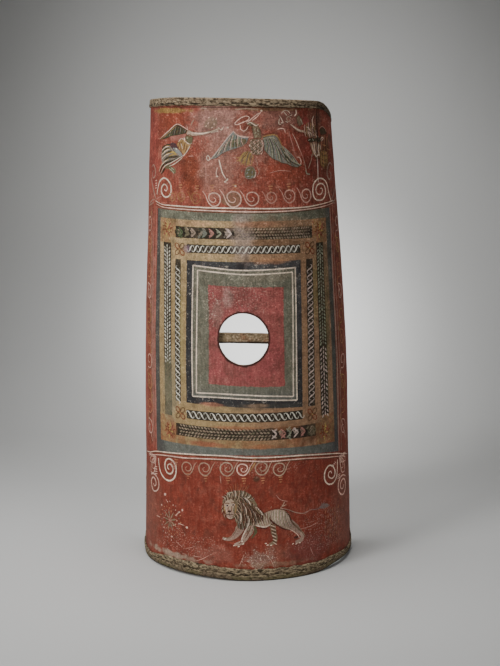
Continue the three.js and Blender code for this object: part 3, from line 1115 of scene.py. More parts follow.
@dataclass
class RawhideBinding:
    """A strip of rawhide folded over one edge of the board."""
    curve: ShieldCurve
    side: Side
    finish: bpy.types.Material
    front_lip: float
    back_lip: float
    start: float
    end: float
    hide: float = 2.0 * MM
    gap: float = 0.3 * MM
    step: float = 2.6 * MM
    lap_rise: float = 0.0
    rope_rise: float = 0.0
    ragged: float = 1.6 * MM
    crust: float = 0.55 * MM
    slits: bool = False
    seed: float = 0.0
    lip_left: tuple[float, ...] = (1.0, 1.0)
    whole_to: float = 5.0 * MM

    def _section(self) -> list[tuple[float, float, float, float]]:
        """The section as a closed loop.

        Returns:
            For each point its depth, its distance in from the edge, and the outward
            direction (depth, inward) that the crust lifts it in; hidden points have none.
        """
        front, back = (-self.gap - self.hide, self.curve.thickness + self.gap + self.hide)
        count = max(8, round(self.front_lip / (1.5 * MM)))
        fold, lip, nib = (0.0018, 0.0009, 0.0006)  # how round its folds and its lips are
        loop = [(front + 0.0016, self.front_lip - nib, 0.0, 0.0), (front + 0.0008, self.front_lip,
            -0.3, 0.6)]
        for index in range(count + 1):
            inward = mix(self.front_lip - lip, fold, index / count)
            loop.append((front, inward, -1.0, 0.0))
        loop += [(front + 0.0005, nib, -0.7, -0.7), (front + fold, 0.0, 0.0, -1.0)]
        loop += [(mix(front, back, share), 0.0, 0.0, -1.0) for share in (0.35, 0.5, 0.65)]
        loop += [(back - fold, 0.0, 0.0, -1.0), (back - 0.0005, nib, 0.7, -0.7)]
        for index in range(8):
            inward = mix(fold, self.back_lip - lip, index / 7)
            loop.append((back, inward, 1.0, 0.0))
        loop += [(back - 0.0008, self.back_lip, 0.3, 0.6), (back - 0.0016, self.back_lip - nib,
            0.0, 0.0)]
        inner = self.hide + 0.2 * MM
        loop += [(back - self.hide, mix(self.back_lip, inner, share), 0.0, 0.0) for share in (0.5, 1.0)]
        loop += [(mix(back - self.hide, front + self.hide, share), inner, 0.0, 0.0) for share in (0.5, 1.0)]
        loop += [(front + self.hide, mix(inner, self.front_lip, share), 0.0, 0.0) for share in (0.35, 0.7)]
        return loop

    def _lift(self, along: float, inward: float, outer: bool) -> float:
        """How far the hide's surface stands out of its even section."""
        lift = self.crust * (wobble(along * 90, inward * 260, self.seed) + 0.5 * wobble(along * 260,
            inward * 500, 3.0))
        if not outer:
            return lift
        share = inward / self.front_lip
        lift += self.lap_rise * ease(0.52, 0.66, share) * (1 + 0.35 * wobble(along * 40, 0.0, 6.0))
        rope = math.exp(-((share - 0.34) / 0.12) ** 2)
        twist = 0.65 + 0.35 * math.sin(along / 0.0045 + share * 9)
        lift += self.rope_rise * rope * twist
        if self.slits and 0.42 < share < 0.62:
            row = abs(math.sin(along / 0.0062 + 0.9 * wobble(along * 20, 0.0, 2.0)))
            lift -= 0.0016 * (1 - ease(0.1, 0.55, row)) * (0.4 + 0.6 * ease(-0.02, -0.09, along))
        return lift

    def _flat(self, along: float, inward: float, depth: float) -> Vector:
        """The frame place of a point on the binding."""
        half, height = (self.curve.girth / 2, self.curve.height)
        if depth < self.curve.thickness / 2 and inward > self.whole_to:
            left = along_stations(self.lip_left, (along - self.start) / (self.end - self.start))
            inward = self.whole_to + (inward - self.whole_to) * left
        if self.side is Side.TOP:
            depth *= mix(1.0, 0.45, ease(0.17, 0.2, along)) if depth < 0 else 1.0
            return self.curve.bend(along, depth, height - inward)
        if self.side is Side.BOTTOM:
            return self.curve.bend(along, depth, inward)
        s = inward - half if self.side is Side.LEFT else half - inward
        return self.curve.bend(s, depth, along)

    def build(self) -> bpy.types.Object:
        """Makes the binding.

        Returns:
            The finished piece, in place.
        """
        section = self._section()
        steps = round((self.end - self.start) / self.step)

        def place(corner: int, step: int) -> tuple[float, float, float]:
            """The flat place of one vertex: along, inward and depth."""
            along = mix(self.start, self.end, step / steps)
            depth, inward, out_depth, out_inward = section[corner]
            if out_depth or out_inward:
                lift = self._lift(along, inward, out_depth < 0)
                if inward < 0.0016 and self.side is Side.BOTTOM:
                    lift = -abs(lift) * 0.3
                depth += out_depth * lift
                inward += out_inward * lift
            tip = ease(0.72, 1.0, inward / self.front_lip) if depth < 0 else 0.0
            torn = wobble(along * 60, 1.0, self.seed) + 0.7 * wobble(along * 210, 2.0, self.seed)
            return (along, inward + tip * self.ragged * torn, depth)
        strip = tube_from_grid("rawhide_" + self.side.value, len(section), steps, place)
        set_layout(strip, lambda co: (co.x, co.y))
        for vertex in strip.data.vertices:
            vertex.co = self._flat(*vertex.co)
        bpy.ops.object.mode_set(mode="EDIT")
        bpy.ops.mesh.select_all(action="SELECT")
        bpy.ops.mesh.normals_make_consistent(inside=False)
        bpy.ops.object.mode_set(mode="OBJECT")
        strip.data.materials.clear()
        strip.data.materials.append(self.finish)
        smooth_shaded(strip, 50.0)
        return strip


# ---------------------------------------------------------------- grip


@dataclass
class Grip:
    """The wooden hand bar that crosses the hole behind the board."""
    curve: ShieldCurve
    finish: bpy.types.Material
    height: float = 0.0226
    depth: float = 0.013
    length: float = 0.31
    level: float = 0.544
    straight: float = 0.064
    tip_depth: float = 0.007
    tip_taper: float = 0.045
    slant: float = 0.012
    shift: float = -0.003
    around: int = 28
    along: int = 150

    def _face_depth(self, x: float) -> float:
        """How deep the bar's front lies: on the board, and straight across the hole."""
        bed = self.curve.thickness + 0.3 * MM
        if abs(x) >= self.straight:
            return bed
        radius = self.curve.radius_at(self.level)
        chord = (radius - bed) * math.cos(self.straight / radius)
        return radius - chord / math.cos(x / radius)

    def _place(self, corner: int, step: int) -> tuple[float, float, float]:
        """The flat place of one vertex of the rounded bar."""
        x = mix(-self.length / 2, self.length / 2, step / self.along)
        angle = 2 * math.pi * corner / self.around
        square = 0.2
        c, s = (math.cos(angle), math.sin(angle))
        y_share = math.copysign(abs(c) ** square, c) / 2 + 0.5
        z_share = math.copysign(abs(s) ** square, s) / 2 + 0.5
        from_tip = self.length / 2 - abs(x)
        depth = mix(self.tip_depth, self.depth, ease(0.0, self.tip_taper, from_tip))
        worn = 0.0007 * wobble(x * 45, angle, 8.0) + 0.0003 * wobble(x * 160, angle * 2.5, 5.0)
        hold = 0.0002 * math.exp(-(x / 0.045) ** 2)
        y = self._face_depth(x) + y_share * depth - worn * (y_share - 0.5) * 2
        z = self.level - self.height / 2 + z_share * self.height - self.slant * x
        z -= (z_share - 0.5) * 2 * (worn + hold)
        return (x + self.shift, max(y, self.curve.thickness + 0.1 * MM if abs(x) > self.straight else -1.0),
            z)

    def build(self) -> bpy.types.Object:
        """Makes the grip.

        Returns:
            The finished piece, in place.
        """
        bar = tube_from_grid("grip_bar", self.around, self.along, self._place)
        set_layout(bar, lambda co: (co.x, co.z + 0.8 * co.y))
        for vertex in bar.data.vertices:
            vertex.co = self.curve.bend(*vertex.co)
        bpy.ops.object.mode_set(mode="EDIT")
        bpy.ops.mesh.select_all(action="SELECT")
        bpy.ops.mesh.normals_make_consistent(inside=False)
        bpy.ops.object.mode_set(mode="OBJECT")
        bar.data.materials.clear()
        bar.data.materials.append(self.finish)
        smooth_shaded(bar, 40.0)
        return bar


# ---------------------------------------------------------------- paint films


class Pigment(Enum):
    """The colours of the painted work."""
    CREAM = "ffe8cf"
    PINK_CREAM = "f6cdb8"
    WHITE = "eee8d6"
    PINK_WHITE = "e2cabc"
    BEIGE = "bfa78e"
    PALE_GREEN = "b2b498"
    GREEN = "5a6848"
    DARK_GREEN = "39422f"
    GREY_GREEN = "84877a"
    BLUE_GREY = "85928d"
    NIGHT = "32323a"
    OCHRE = "b8965c"
    YELLOW = "c2a75c"
    ORANGE = "cf9468"
    BROWN = "5e3f2a"
    DARK = "2a211a"
    PINK = "c48a7c"
    CRIMSON = "93403c"
    GREY_PINK = "b09886"
    OLIVE = "7d7359"
    RED = "80301f"
    BLACK = "1c1814"


@dataclass
class Film:
    """Thin paint, brushed on the flat in millimetres and wrapped on the face at the end."""
    name: str
    curve: ShieldCurve
    finish: bpy.types.Material
    lift: float = 0.2 * MM
    level_step: float = 0.12 * MM
    thickness: float = 0.25 * MM
    facet: float = 8.0
    edge_spacing: float = 5.0
    mesh: bmesh.types.BMesh = field(default_factory=bmesh.new)
    blanks: dict[tuple[str, int], bpy.types.Mesh] = field(default_factory=dict)

    def __post_init__(self) -> None:
        """Adds the colour layer."""
        self.tint = self.mesh.loops.layers.float_color.new(PIGMENT)

    def _blank(self, kind: str, count: int) -> bpy.types.Mesh:
        """A strip of count cells or a disc of count sides, modelled once and kept to copy."""
        if (kind, count) not in self.blanks:
            deselect()
            if kind == "strip":
                bpy.ops.mesh.primitive_grid_add(x_subdivisions=count, y_subdivisions=1, size=2)
            else:
                bpy.ops.mesh.primitive_circle_add(vertices=count, radius=1, fill_type="NGON")
            model = bpy.context.object
            self.blanks[kind, count] = model.data
            bpy.data.objects.remove(model)
        return self.blanks[kind, count]

    def _copy(self, blank: bpy.types.Mesh, places: Callable[[Vector, int], Flat], pigment: Pigment,
            strength: float, level: int) -> None:
        """Adds a copy of a blank, shaped by places and tinted.

        Args:
            blank: the strip or disc to copy.
            places: gives the flat place of a vertex from its place and number on the blank.
            pigment: the colour.
            strength: how well the paint covers, from 0 to 1.
            level: how many coats it lies over.
        """
        first_vertex, first_face = (len(self.mesh.verts), len(self.mesh.faces))
        self.mesh.from_mesh(blank)
        self.mesh.verts.ensure_lookup_table()
        self.mesh.faces.ensure_lookup_table()
        for number, vertex in enumerate(self.mesh.verts[first_vertex:]):
            s, z = places(vertex.co, number)
            vertex.co = (s * MM, -self.lift - level * self.level_step, z * MM)
        colour = (*linear(pigment.value), strength)
        for face in self.mesh.faces[first_face:]:
            face.normal_update()
            if face.normal.y > 0:
                face.normal_flip()
            for loop in face.loops:
                loop[self.tint] = colour

    def line(self, pigment: Pigment, strength: float, level: int, width: Union[float, Sequence[float]],
            *paths: Sequence[Flat], ends: Flat = (0.5, 0.5), spacing: float = 3.0,
            closed: bool = False) -> None:
        """Brushes one line, or several alike.

        Args:
            pigment: the colour.
            strength: how well it covers.
            level: how many coats it lies over.
            width: the width, or the widths at even steps along a line.
            paths: where each line goes.
            ends: the shares of the width left at its start and end.
            spacing: about how far apart its sections lie.
            closed: whether it ends where it starts.
        """
        for path in paths:
            self._stroke(path, width, pigment, strength, level, ends, spacing, closed)

    def _stroke(self, points: Sequence[Flat], width: Union[float, Sequence[float]], pigment: Pigment,
            strength: float, level: int, ends: Flat, spacing: float, closed: bool) -> None:
        """Brushes a single line; line says what each value is."""
        path = smooth_path(points, spacing, closed)
        if closed:
            path.append(path[0])
        count = len(path) - 1
        seed = points[0][0] * 0.37 + points[0][1] * 0.11
        widths = (width, width) if isinstance(width, (int, float)) else tuple(width)

        def place(co: Vector, _: int) -> Flat:
            """A corner of the strip, moved out to its side of the line."""
            index = round((co.x + 1) / 2 * count)
            if closed:
                before, after = (path[(index - 1) % count], path[(index + 1) % count])
            else:
                before, after = (path[max(index - 1, 0)], path[min(index + 1, count)])
            run = Vector((after[0] - before[0], after[1] - before[1]))
            run = run.normalized() if run.length else Vector((1.0, 0.0))
            t = index / count
            share = 1.0 if closed else mix(ends[0], 1, ease(0, 0.25, t)) * mix(ends[1], 1, ease(0, 0.25,
                1 - t))
            half = along_stations(widths, t) / 2 * share * (1 + 0.22 * wobble(index * spacing * 0.13, seed,
                co.y))
            return (path[index][0] - run.y * half * co.y, path[index][1] + run.x * half * co.y)
        self._copy(self._blank("strip", count), place, pigment, strength, level)

    def patch(self, pigment: Pigment, strength: float, level: int, outline: Sequence[Flat],
            smooth: bool = True) -> None:
        """Fills an outline with paint.

        Args:
            pigment: the colour.
            strength: how well it covers.
            level: how many coats it lies over.
            outline: the points round it.
            smooth: whether the outline is a smooth curve through its points.
        """
        edge = smooth_path(outline, self.edge_spacing, True) if smooth else list(outline)
        self._copy(self._blank("disc", len(edge)), lambda _, number: edge[number], pigment, strength, level)

    def shape(self, pigment: Pigment, strength: float, level: int, edge: Pigment,
            outline: Sequence[Flat], width: float = 1.7, edge_strength: float = 0.7,
            smooth: bool = True) -> None:
        """Fills an outline and draws a thin line round it.

        Args:
            pigment: the fill's colour.
            strength: how well the fill covers.
            level: how many coats the fill lies over.
            edge: the line's colour.
            outline: the points round it.
            width: the line's width.
            edge_strength: how well the line covers.
            smooth: whether the outline is a smooth curve through its points.
        """
        self.patch(pigment, strength, level, outline, smooth=smooth)
        if smooth:
            self.line(edge, edge_strength, level + 1, width, outline, closed=True)
            return
        sides = zip(outline, [*outline[1:], outline[0]])
        self.line(edge, edge_strength, level + 1, width, *sides, ends=(0.9, 0.9))

    def spot(self, centre: Flat, size: Flat, pigment: Pigment, strength: float = 1.0, level: int = 0,
            turn: float = 0.0, sides: int = 8) -> None:
        """Dabs a small round or many-sided spot.

        Args:
            centre: its middle.
            size: its length and width.
            pigment: its colour.
            strength: how well it covers.
            level: how many coats it lies over.
            turn: the angle of its length, in degrees.
            sides: how many sides it has.
        """
        c, s = (math.cos(math.radians(turn)), math.sin(math.radians(turn)))

        def place(co: Vector, _: int) -> Flat:
            """A corner of the disc, sized, turned and moved."""
            x, y = (co.x * size[0] / 2, co.y * size[1] / 2)
            return (centre[0] + x * c - y * s, centre[1] + x * s + y * c)
        self._copy(self._blank("disc", sides), place, pigment, strength, level)

    def feathers(self, pigments: Sequence[Pigment], strength: float, level: int, count: int,
            width: float, curl: float, root: Sequence[Flat], tip: Sequence[Flat]) -> None:
        """Brushes a row of feathers or locks from one guide line to another.

        Args:
            pigments: their colours, in turn.
            strength: how well they cover.
            level: how many coats they lie over.
            count: how many there are.
            width: the width of each.
            curl: how far their middles bow out sideways.
            root: the line they start on.
            tip: the line they end on.
        """
        roots, tips = (smooth_path(root, 1.0), smooth_path(tip, 1.0))
        for index in range(count):
            t = index / max(count - 1, 1)
            a = roots[round(t * (len(roots) - 1))]
            b = tips[round(t * (len(tips) - 1))]
            pigment = pigments[index % len(pigments)]
            bow = Vector((b[1] - a[1], a[0] - b[0])).normalized() * curl
            middle = ((a[0] + b[0]) / 2 + bow.x, (a[1] + b[1]) / 2 + bow.y)
            self.line(pigment, strength, level, width, (a, middle, b), ends=(0.9, 0.3), spacing=4.0)

    def build(self) -> bpy.types.Object:
        """Thickens the paint and wraps it on the face.

        Returns:
            The finished piece, in place.
        """
        sheet = bpy.data.meshes.new(self.name)
        self.mesh.to_mesh(sheet)
        self.mesh.free()
        piece = bpy.data.objects.new(self.name, sheet)
        bpy.context.scene.collection.objects.link(piece)
        deselect()
        bpy.context.view_layer.objects.active = piece
        piece.select_set(True)
        bpy.ops.object.mode_set(mode="EDIT")
        bpy.ops.mesh.select_all(action="SELECT")
        bpy.ops.mesh.quads_convert_to_tris(ngon_method="BEAUTY")
        low, high = (f((vertex.co.x for vertex in sheet.vertices)) for f in (min, max))
        for index in range(int((high - low) / (self.facet * MM))):
            bpy.ops.mesh.select_all(action="SELECT")
            place = low + (index + 1) * self.facet * MM
            bpy.ops.mesh.bisect(plane_co=(place, 0, 0), plane_no=(1, 0, 0))
        bpy.ops.object.mode_set(mode="OBJECT")
        set_layout(piece, lambda co: (co.x, co.z))
        apply_modifier(piece, "SOLIDIFY", thickness=self.thickness, offset=-1.0)
        for vertex in piece.data.vertices:
            vertex.co = self.curve.wrap(*vertex.co)
        piece.data.materials.clear()
        piece.data.materials.append(self.finish)
        smooth_shaded(piece)
        return piece


@dataclass
class PaintedWork:
    """A group of painted figures or ornaments; each kind says how it is brushed."""
    curve: ShieldCurve
    finish: bpy.types.Material
    name = "paint"

    def brush(self, film: Film) -> None:
        """Brushes the work on its film."""
        raise NotImplementedError

    def build(self) -> bpy.types.Object:
        """Makes the film and wraps it on the face."""
        film = Film(self.name, self.curve, self.finish)
        self.brush(film)
        return film.build()


class RuledLines(PaintedWork):
    """The double lines over and under the panel, its side lines and its two pale inner lines."""
    name = "paint_lines"

    def brush(self, film: Film) -> None:
        """Brushes every line."""
        self._double(film, [(-236, 835), (-226, 833), (-200, 828.7), (-150, 828), (-100, 827), (0, 826),
            (60, 825), (100, 825), (150, 826), (200, 830), (233, 832.5), (262, 835)], [(-232, 829),
            (-200, 823.4), (-150, 822), (-50, 820), (10, 818.5), (60, 818.5), (100, 819), (150, 821),
            (200, 824), (240, 827.5), (256, 829)])
        self._double(film, [(-318, 250), (-285, 256), (-250, 266), (-200, 273.5), (-150, 279), (-100, 283),
            (-50, 285), (0, 282.5), (100, 280.5), (150, 276.5), (200, 270), (250, 261), (285, 252),
            (318, 244)], [(-296, 246), (-250, 258), (-200, 266), (-150, 270), (-100, 274.6), (-50, 276.5),
            (0, 275), (50, 272.5), (100, 272.5), (150, 269), (200, 262), (250, 254), (296, 243)])
        for left, width, strength in ((0, 5.5, 0.6), (-13, 2.5, 0.6)):
            line = [(-231 + left, 824), (-240 + left, 700), (-247 + left, 480), (-248 + left, 272)]
            film.line(Pigment.PINK, strength, 0, width, line, spacing=8)
        for right, width, strength in ((0, 5.0, 0.85), (13, 3.0, 0.6)):
            line = [(240 + right, 826), (244 + right, 650), (252 + right, 450), (256 + right, 264)]
            film.line(Pigment.GREY_PINK, strength, 0, width, line, spacing=8)
        outer = [(-114, 702), (-64, 698), (-10, 694), (60, 695), (116.5, 697), (116.5, 560), (116.5, 405),
            (60, 409), (0, 413), (-60, 415), (-123, 413), (-121, 560)]
        inner = [(-103, 692), (-60, 689), (0, 685), (60, 686), (109, 687.5), (108.5, 560), (107.5, 414),
            (60, 418), (0, 422), (-60, 423.5), (-113, 422), (-109, 560)]
        for frame_line, strength in ((outer, 0.95), (inner, 0.9)):
            for start, end in ((0, 4), (4, 6), (6, 10), (10, 12)):
                points = (frame_line + frame_line[:1])[start:end + 1]
                film.line(Pigment.CREAM, strength, 0, 2.9, points, ends=(1, 1), spacing=5)

    def _double(self, film: Film, upper: Sequence[Flat], lower: Sequence[Flat]) -> None:
        """Brushes a pair of pale lines with dark between and under them."""
        film.line(Pigment.CREAM, 1.0, 1, 2.7, upper, spacing=5)
        film.line(Pigment.PINK_CREAM, 1.0, 1, 2.5, lower, spacing=5)
        for line, drop in ((upper, 2.9), (lower, 2.7)):
            film.line(Pigment.BROWN, 0.75, 0, 2.4, [(s, z - drop) for s, z in line], spacing=8)


class Volutes(PaintedWork):
    """The corner volutes with their palmettes and ticks."""
    name = "paint_volutes"

    def brush(self, film: Film) -> None:
        """Brushes the four corners."""
        self._top_corners(film)
        self._bottom_corners(film)

    def _coil(self, film: Film, points: Sequence[Flat], width: float, pigment: Pigment,
            strength: float) -> None:
        """Brushes one coiled line."""
        film.line(pigment, strength, 1, width, points, ends=(0.8, 0.6), spacing=2.5)

    def _top_corners(self, film: Film) -> None:
        """The two corners above the panel."""
        self._coil(film, [(-228, 850), (-222, 866), (-215, 877), (-205, 884), (-193, 886.5), (-181, 882),
            (-172, 872), (-171, 860), (-176, 850), (-190, 845.5), (-202, 850), (-207, 860), (-203, 869),
            (-194, 873), (-186, 870), (-184, 863), (-189, 859), (-195, 862)], 3.1, Pigment.CREAM, 1.0)
        self._coil(film, [(250, 833), (243, 842), (236, 855), (231, 868), (221, 879), (206, 885),
            (190, 885), (176, 877), (171, 866), (171, 852), (178, 842), (192, 838.5), (206, 840),
            (217, 848), (220, 860), (214, 870), (203, 874.5), (190, 873), (182, 866), (182, 857),
            (190, 851.5), (200, 852), (206, 858), (204, 864), (197, 864)], 3.1, Pigment.CREAM, 0.95)
        self._coil(film, [(-268, 884), (-256, 868), (-245, 852), (-236, 840)], 4.5, Pigment.GREY_PINK, 0.8)
        self._coil(film, [(-262, 908), (-250, 914), (-240, 908), (-236, 897), (-242, 887), (-254, 886),
            (-258, 894), (-250, 901)], 3.4, Pigment.GREY_PINK, 0.75)
        self._coil(film, [(268, 912), (255, 918), (242, 914), (233, 903), (232, 892), (240, 883),
            (251, 884), (255, 893), (247, 899)], 3.2, Pigment.GREY_PINK, 0.8)
        self._coil(film, [(-231, 839), (-221, 843), (-207, 846)], 3.0, Pigment.PINK, 0.8)
        for height in (863, 868, 873, 879):
            film.line(Pigment.PINK_CREAM, 0.85, 0, 2.2, [(-237, height), (-228, height + 1.5)], spacing=2)
        film.line(Pigment.GREY_PINK, 0.75, 0, 3.0, [(-240, 838), (-258, 836), (-280, 828)], [(-246, 832),
            (-270, 826), (-290, 822)], [(252, 838), (270, 848), (284, 862)], [(252, 834), (276, 834),
            (300, 842)], [(256, 830), (280, 828)])

    def _bottom_corners(self, film: Film) -> None:
        """The two corners below the panel."""
        self._coil(film, [(-239, 252), (-236, 236), (-230, 222), (-218, 212), (-205, 208.5), (-192, 210),
            (-180, 219), (-174, 232), (-174, 245), (-180, 255), (-193, 260), (-204, 257), (-211, 248),
            (-211, 236), (-205, 227), (-196, 225), (-187, 229), (-183, 238), (-187, 246), (-194, 248),
            (-201, 244), (-202, 238), (-197, 235)], 3.6, Pigment.CREAM, 1.0)
        self._coil(film, [(247, 247), (247, 232), (245, 216), (240, 205), (230, 198), (218, 196),
            (205, 200), (196, 210), (194, 222), (198, 233), (207, 240), (218, 240), (228, 234), (235, 224),
            (234, 214), (225, 209), (215, 211), (208, 218), (211, 226), (218, 226), (220, 221)], 3.4,
            Pigment.CREAM, 1.0)
        self._coil(film, [(-281, 205), (-268, 209), (-255, 209), (-243, 202), (-239, 190), (-244, 178),
            (-255, 171), (-268, 169), (-278, 176), (-281, 188), (-275, 197), (-266, 201), (-256, 197),
            (-253, 188), (-260, 182), (-268, 186)], 3.4, Pigment.PINK_CREAM, 0.85)
        self._coil(film, [(296, 197), (280, 203), (266, 203), (255, 196), (250, 183), (254, 170),
            (265, 161), (280, 158), (292, 166), (294, 180), (286, 192), (272, 194), (262, 186), (264, 176),
            (275, 172), (282, 180)], 3.4, Pigment.PINK_CREAM, 0.9)
        for step in range(4):
            film.line(Pigment.PINK_CREAM, 0.85, 0, 2.2, [(-258, 212 + 5.5 * step), (-245,
                214 + 5.5 * step)], spacing=3)
        for step in range(3):
            film.line(Pigment.PINK_CREAM, 0.8, 0, 2.2, [(224 + 5 * step, 241 + 2 * step), (231 + 5 * step,
                236 + 2 * step)])
            film.line(Pigment.PINK_CREAM, 0.7, 0, 2.0, [(246, 202 + 4 * step), (262, 203 + 4 * step)])
        for side, crown in ((-1, -250), (1, 257)):
            for reach, drop in ((34, 46), (22, 34), (40, 22), (12, 20), (44, 6)):
                root, tip = ((crown, 254), (crown + side * reach, 256 - drop))
                belly = (crown + side * reach * 0.35, 256 - drop * 0.9)
                film.line(Pigment.PINK_CREAM, 0.8, 0, 2.8, [root, belly, tip], spacing=3)
                film.line(Pigment.PINK_CREAM, 0.7, 0, 2.4, [root, (crown + side * reach * 0.75,
                    256 - drop * 0.4), tip], spacing=3)


class WaveScrolls(PaintedWork):
    """The rows of running scrolls above the upper double line and below the lower one."""
    name = "paint_wave_scrolls"
    wave = ((24, 18), (17, 8), (11, -6), (2, -14), (-8, -12.5), (-14.5, -5), (-15, 5), (-9, 12.5), (0, 14),
        (8, 10.5), (10, 3), (5, -4.5), (-3, -5), (-5.5, 1), (-1, 4))

    def brush(self, film: Film) -> None:
        """Brushes both rows."""
        upper = ((-168, 847, 0.6, 0.4), (-142, 848, 0.65, 0.4), (-104, 846, 0.8, 0.35), (-62, 844,
            1.0, 0.85), (-20, 845, 1.15, 0.85), (20, 846, 1.0, 0.65), (62, 848, 0.8, 0.35), (104, 850,
            0.95, 0.5), (148, 850, 1.0, 0.7))
        film.patch(Pigment.OLIVE, 0.5, 0, [(-44, 838), (-36, 854), (-20, 861), (-2, 855), (-2, 836),
            (-20, 829)])
        for s, z, size, strength in upper:
            coil = [(s - x * size, z + y * size) for x, y in self.wave]
            pigment = Pigment.OCHRE if s < -90 else Pigment.PINK_CREAM
            film.line(pigment, strength, 1, 2.7, coil, spacing=2.5)
        for s, z in ((-142, 873), (-99, 872), (-64, 874), (-15, 875), (62, 872), (104, 876)):
            self._dashes(film, (s, z), 0.8, -5.5)
        lower = ((-181, 248, 0.55, 0.3), (-140, 247, 1.0, 0.6), (-95, 251, 1.0, 0.65), (-43, 255,
            1.05, 0.9), (-8, 255, 0.9, 1.0), (34, 257, 1.0, 0.9), (74, 253, 1.0, 0.95))
        for s, z, size, strength in lower:
            coil = [(s + x * size, z + y * size) for x, y in self.wave]
            film.line(Pigment.PINK_CREAM if size < 0.95 else Pigment.BEIGE, strength, 1, 2.7, coil,
                spacing=2.5)
            if size > 0.8:
                self._dashes(film, (s + 1, 235), 0.85 * strength, -5.5)
        self._dashes(film, (-172, 262), 0.8, -6)
        film.line(Pigment.OCHRE, 0.8, 0, 2.4, [(17, 284), (18, 272), (13, 262), (4, 248)])

    def _dashes(self, film: Film, top: Flat, strength: float, step: float) -> None:
        """A stack of three short dashes, each shorter than the last."""
        for row, half in enumerate((5.0, 4.0, 2.5)):
            z = top[1] + row * step
            film.line(Pigment.ORANGE, strength, 1, 2.3, [(top[0] - half, z), (top[0] + half, z + 0.5)],
                spacing=3)


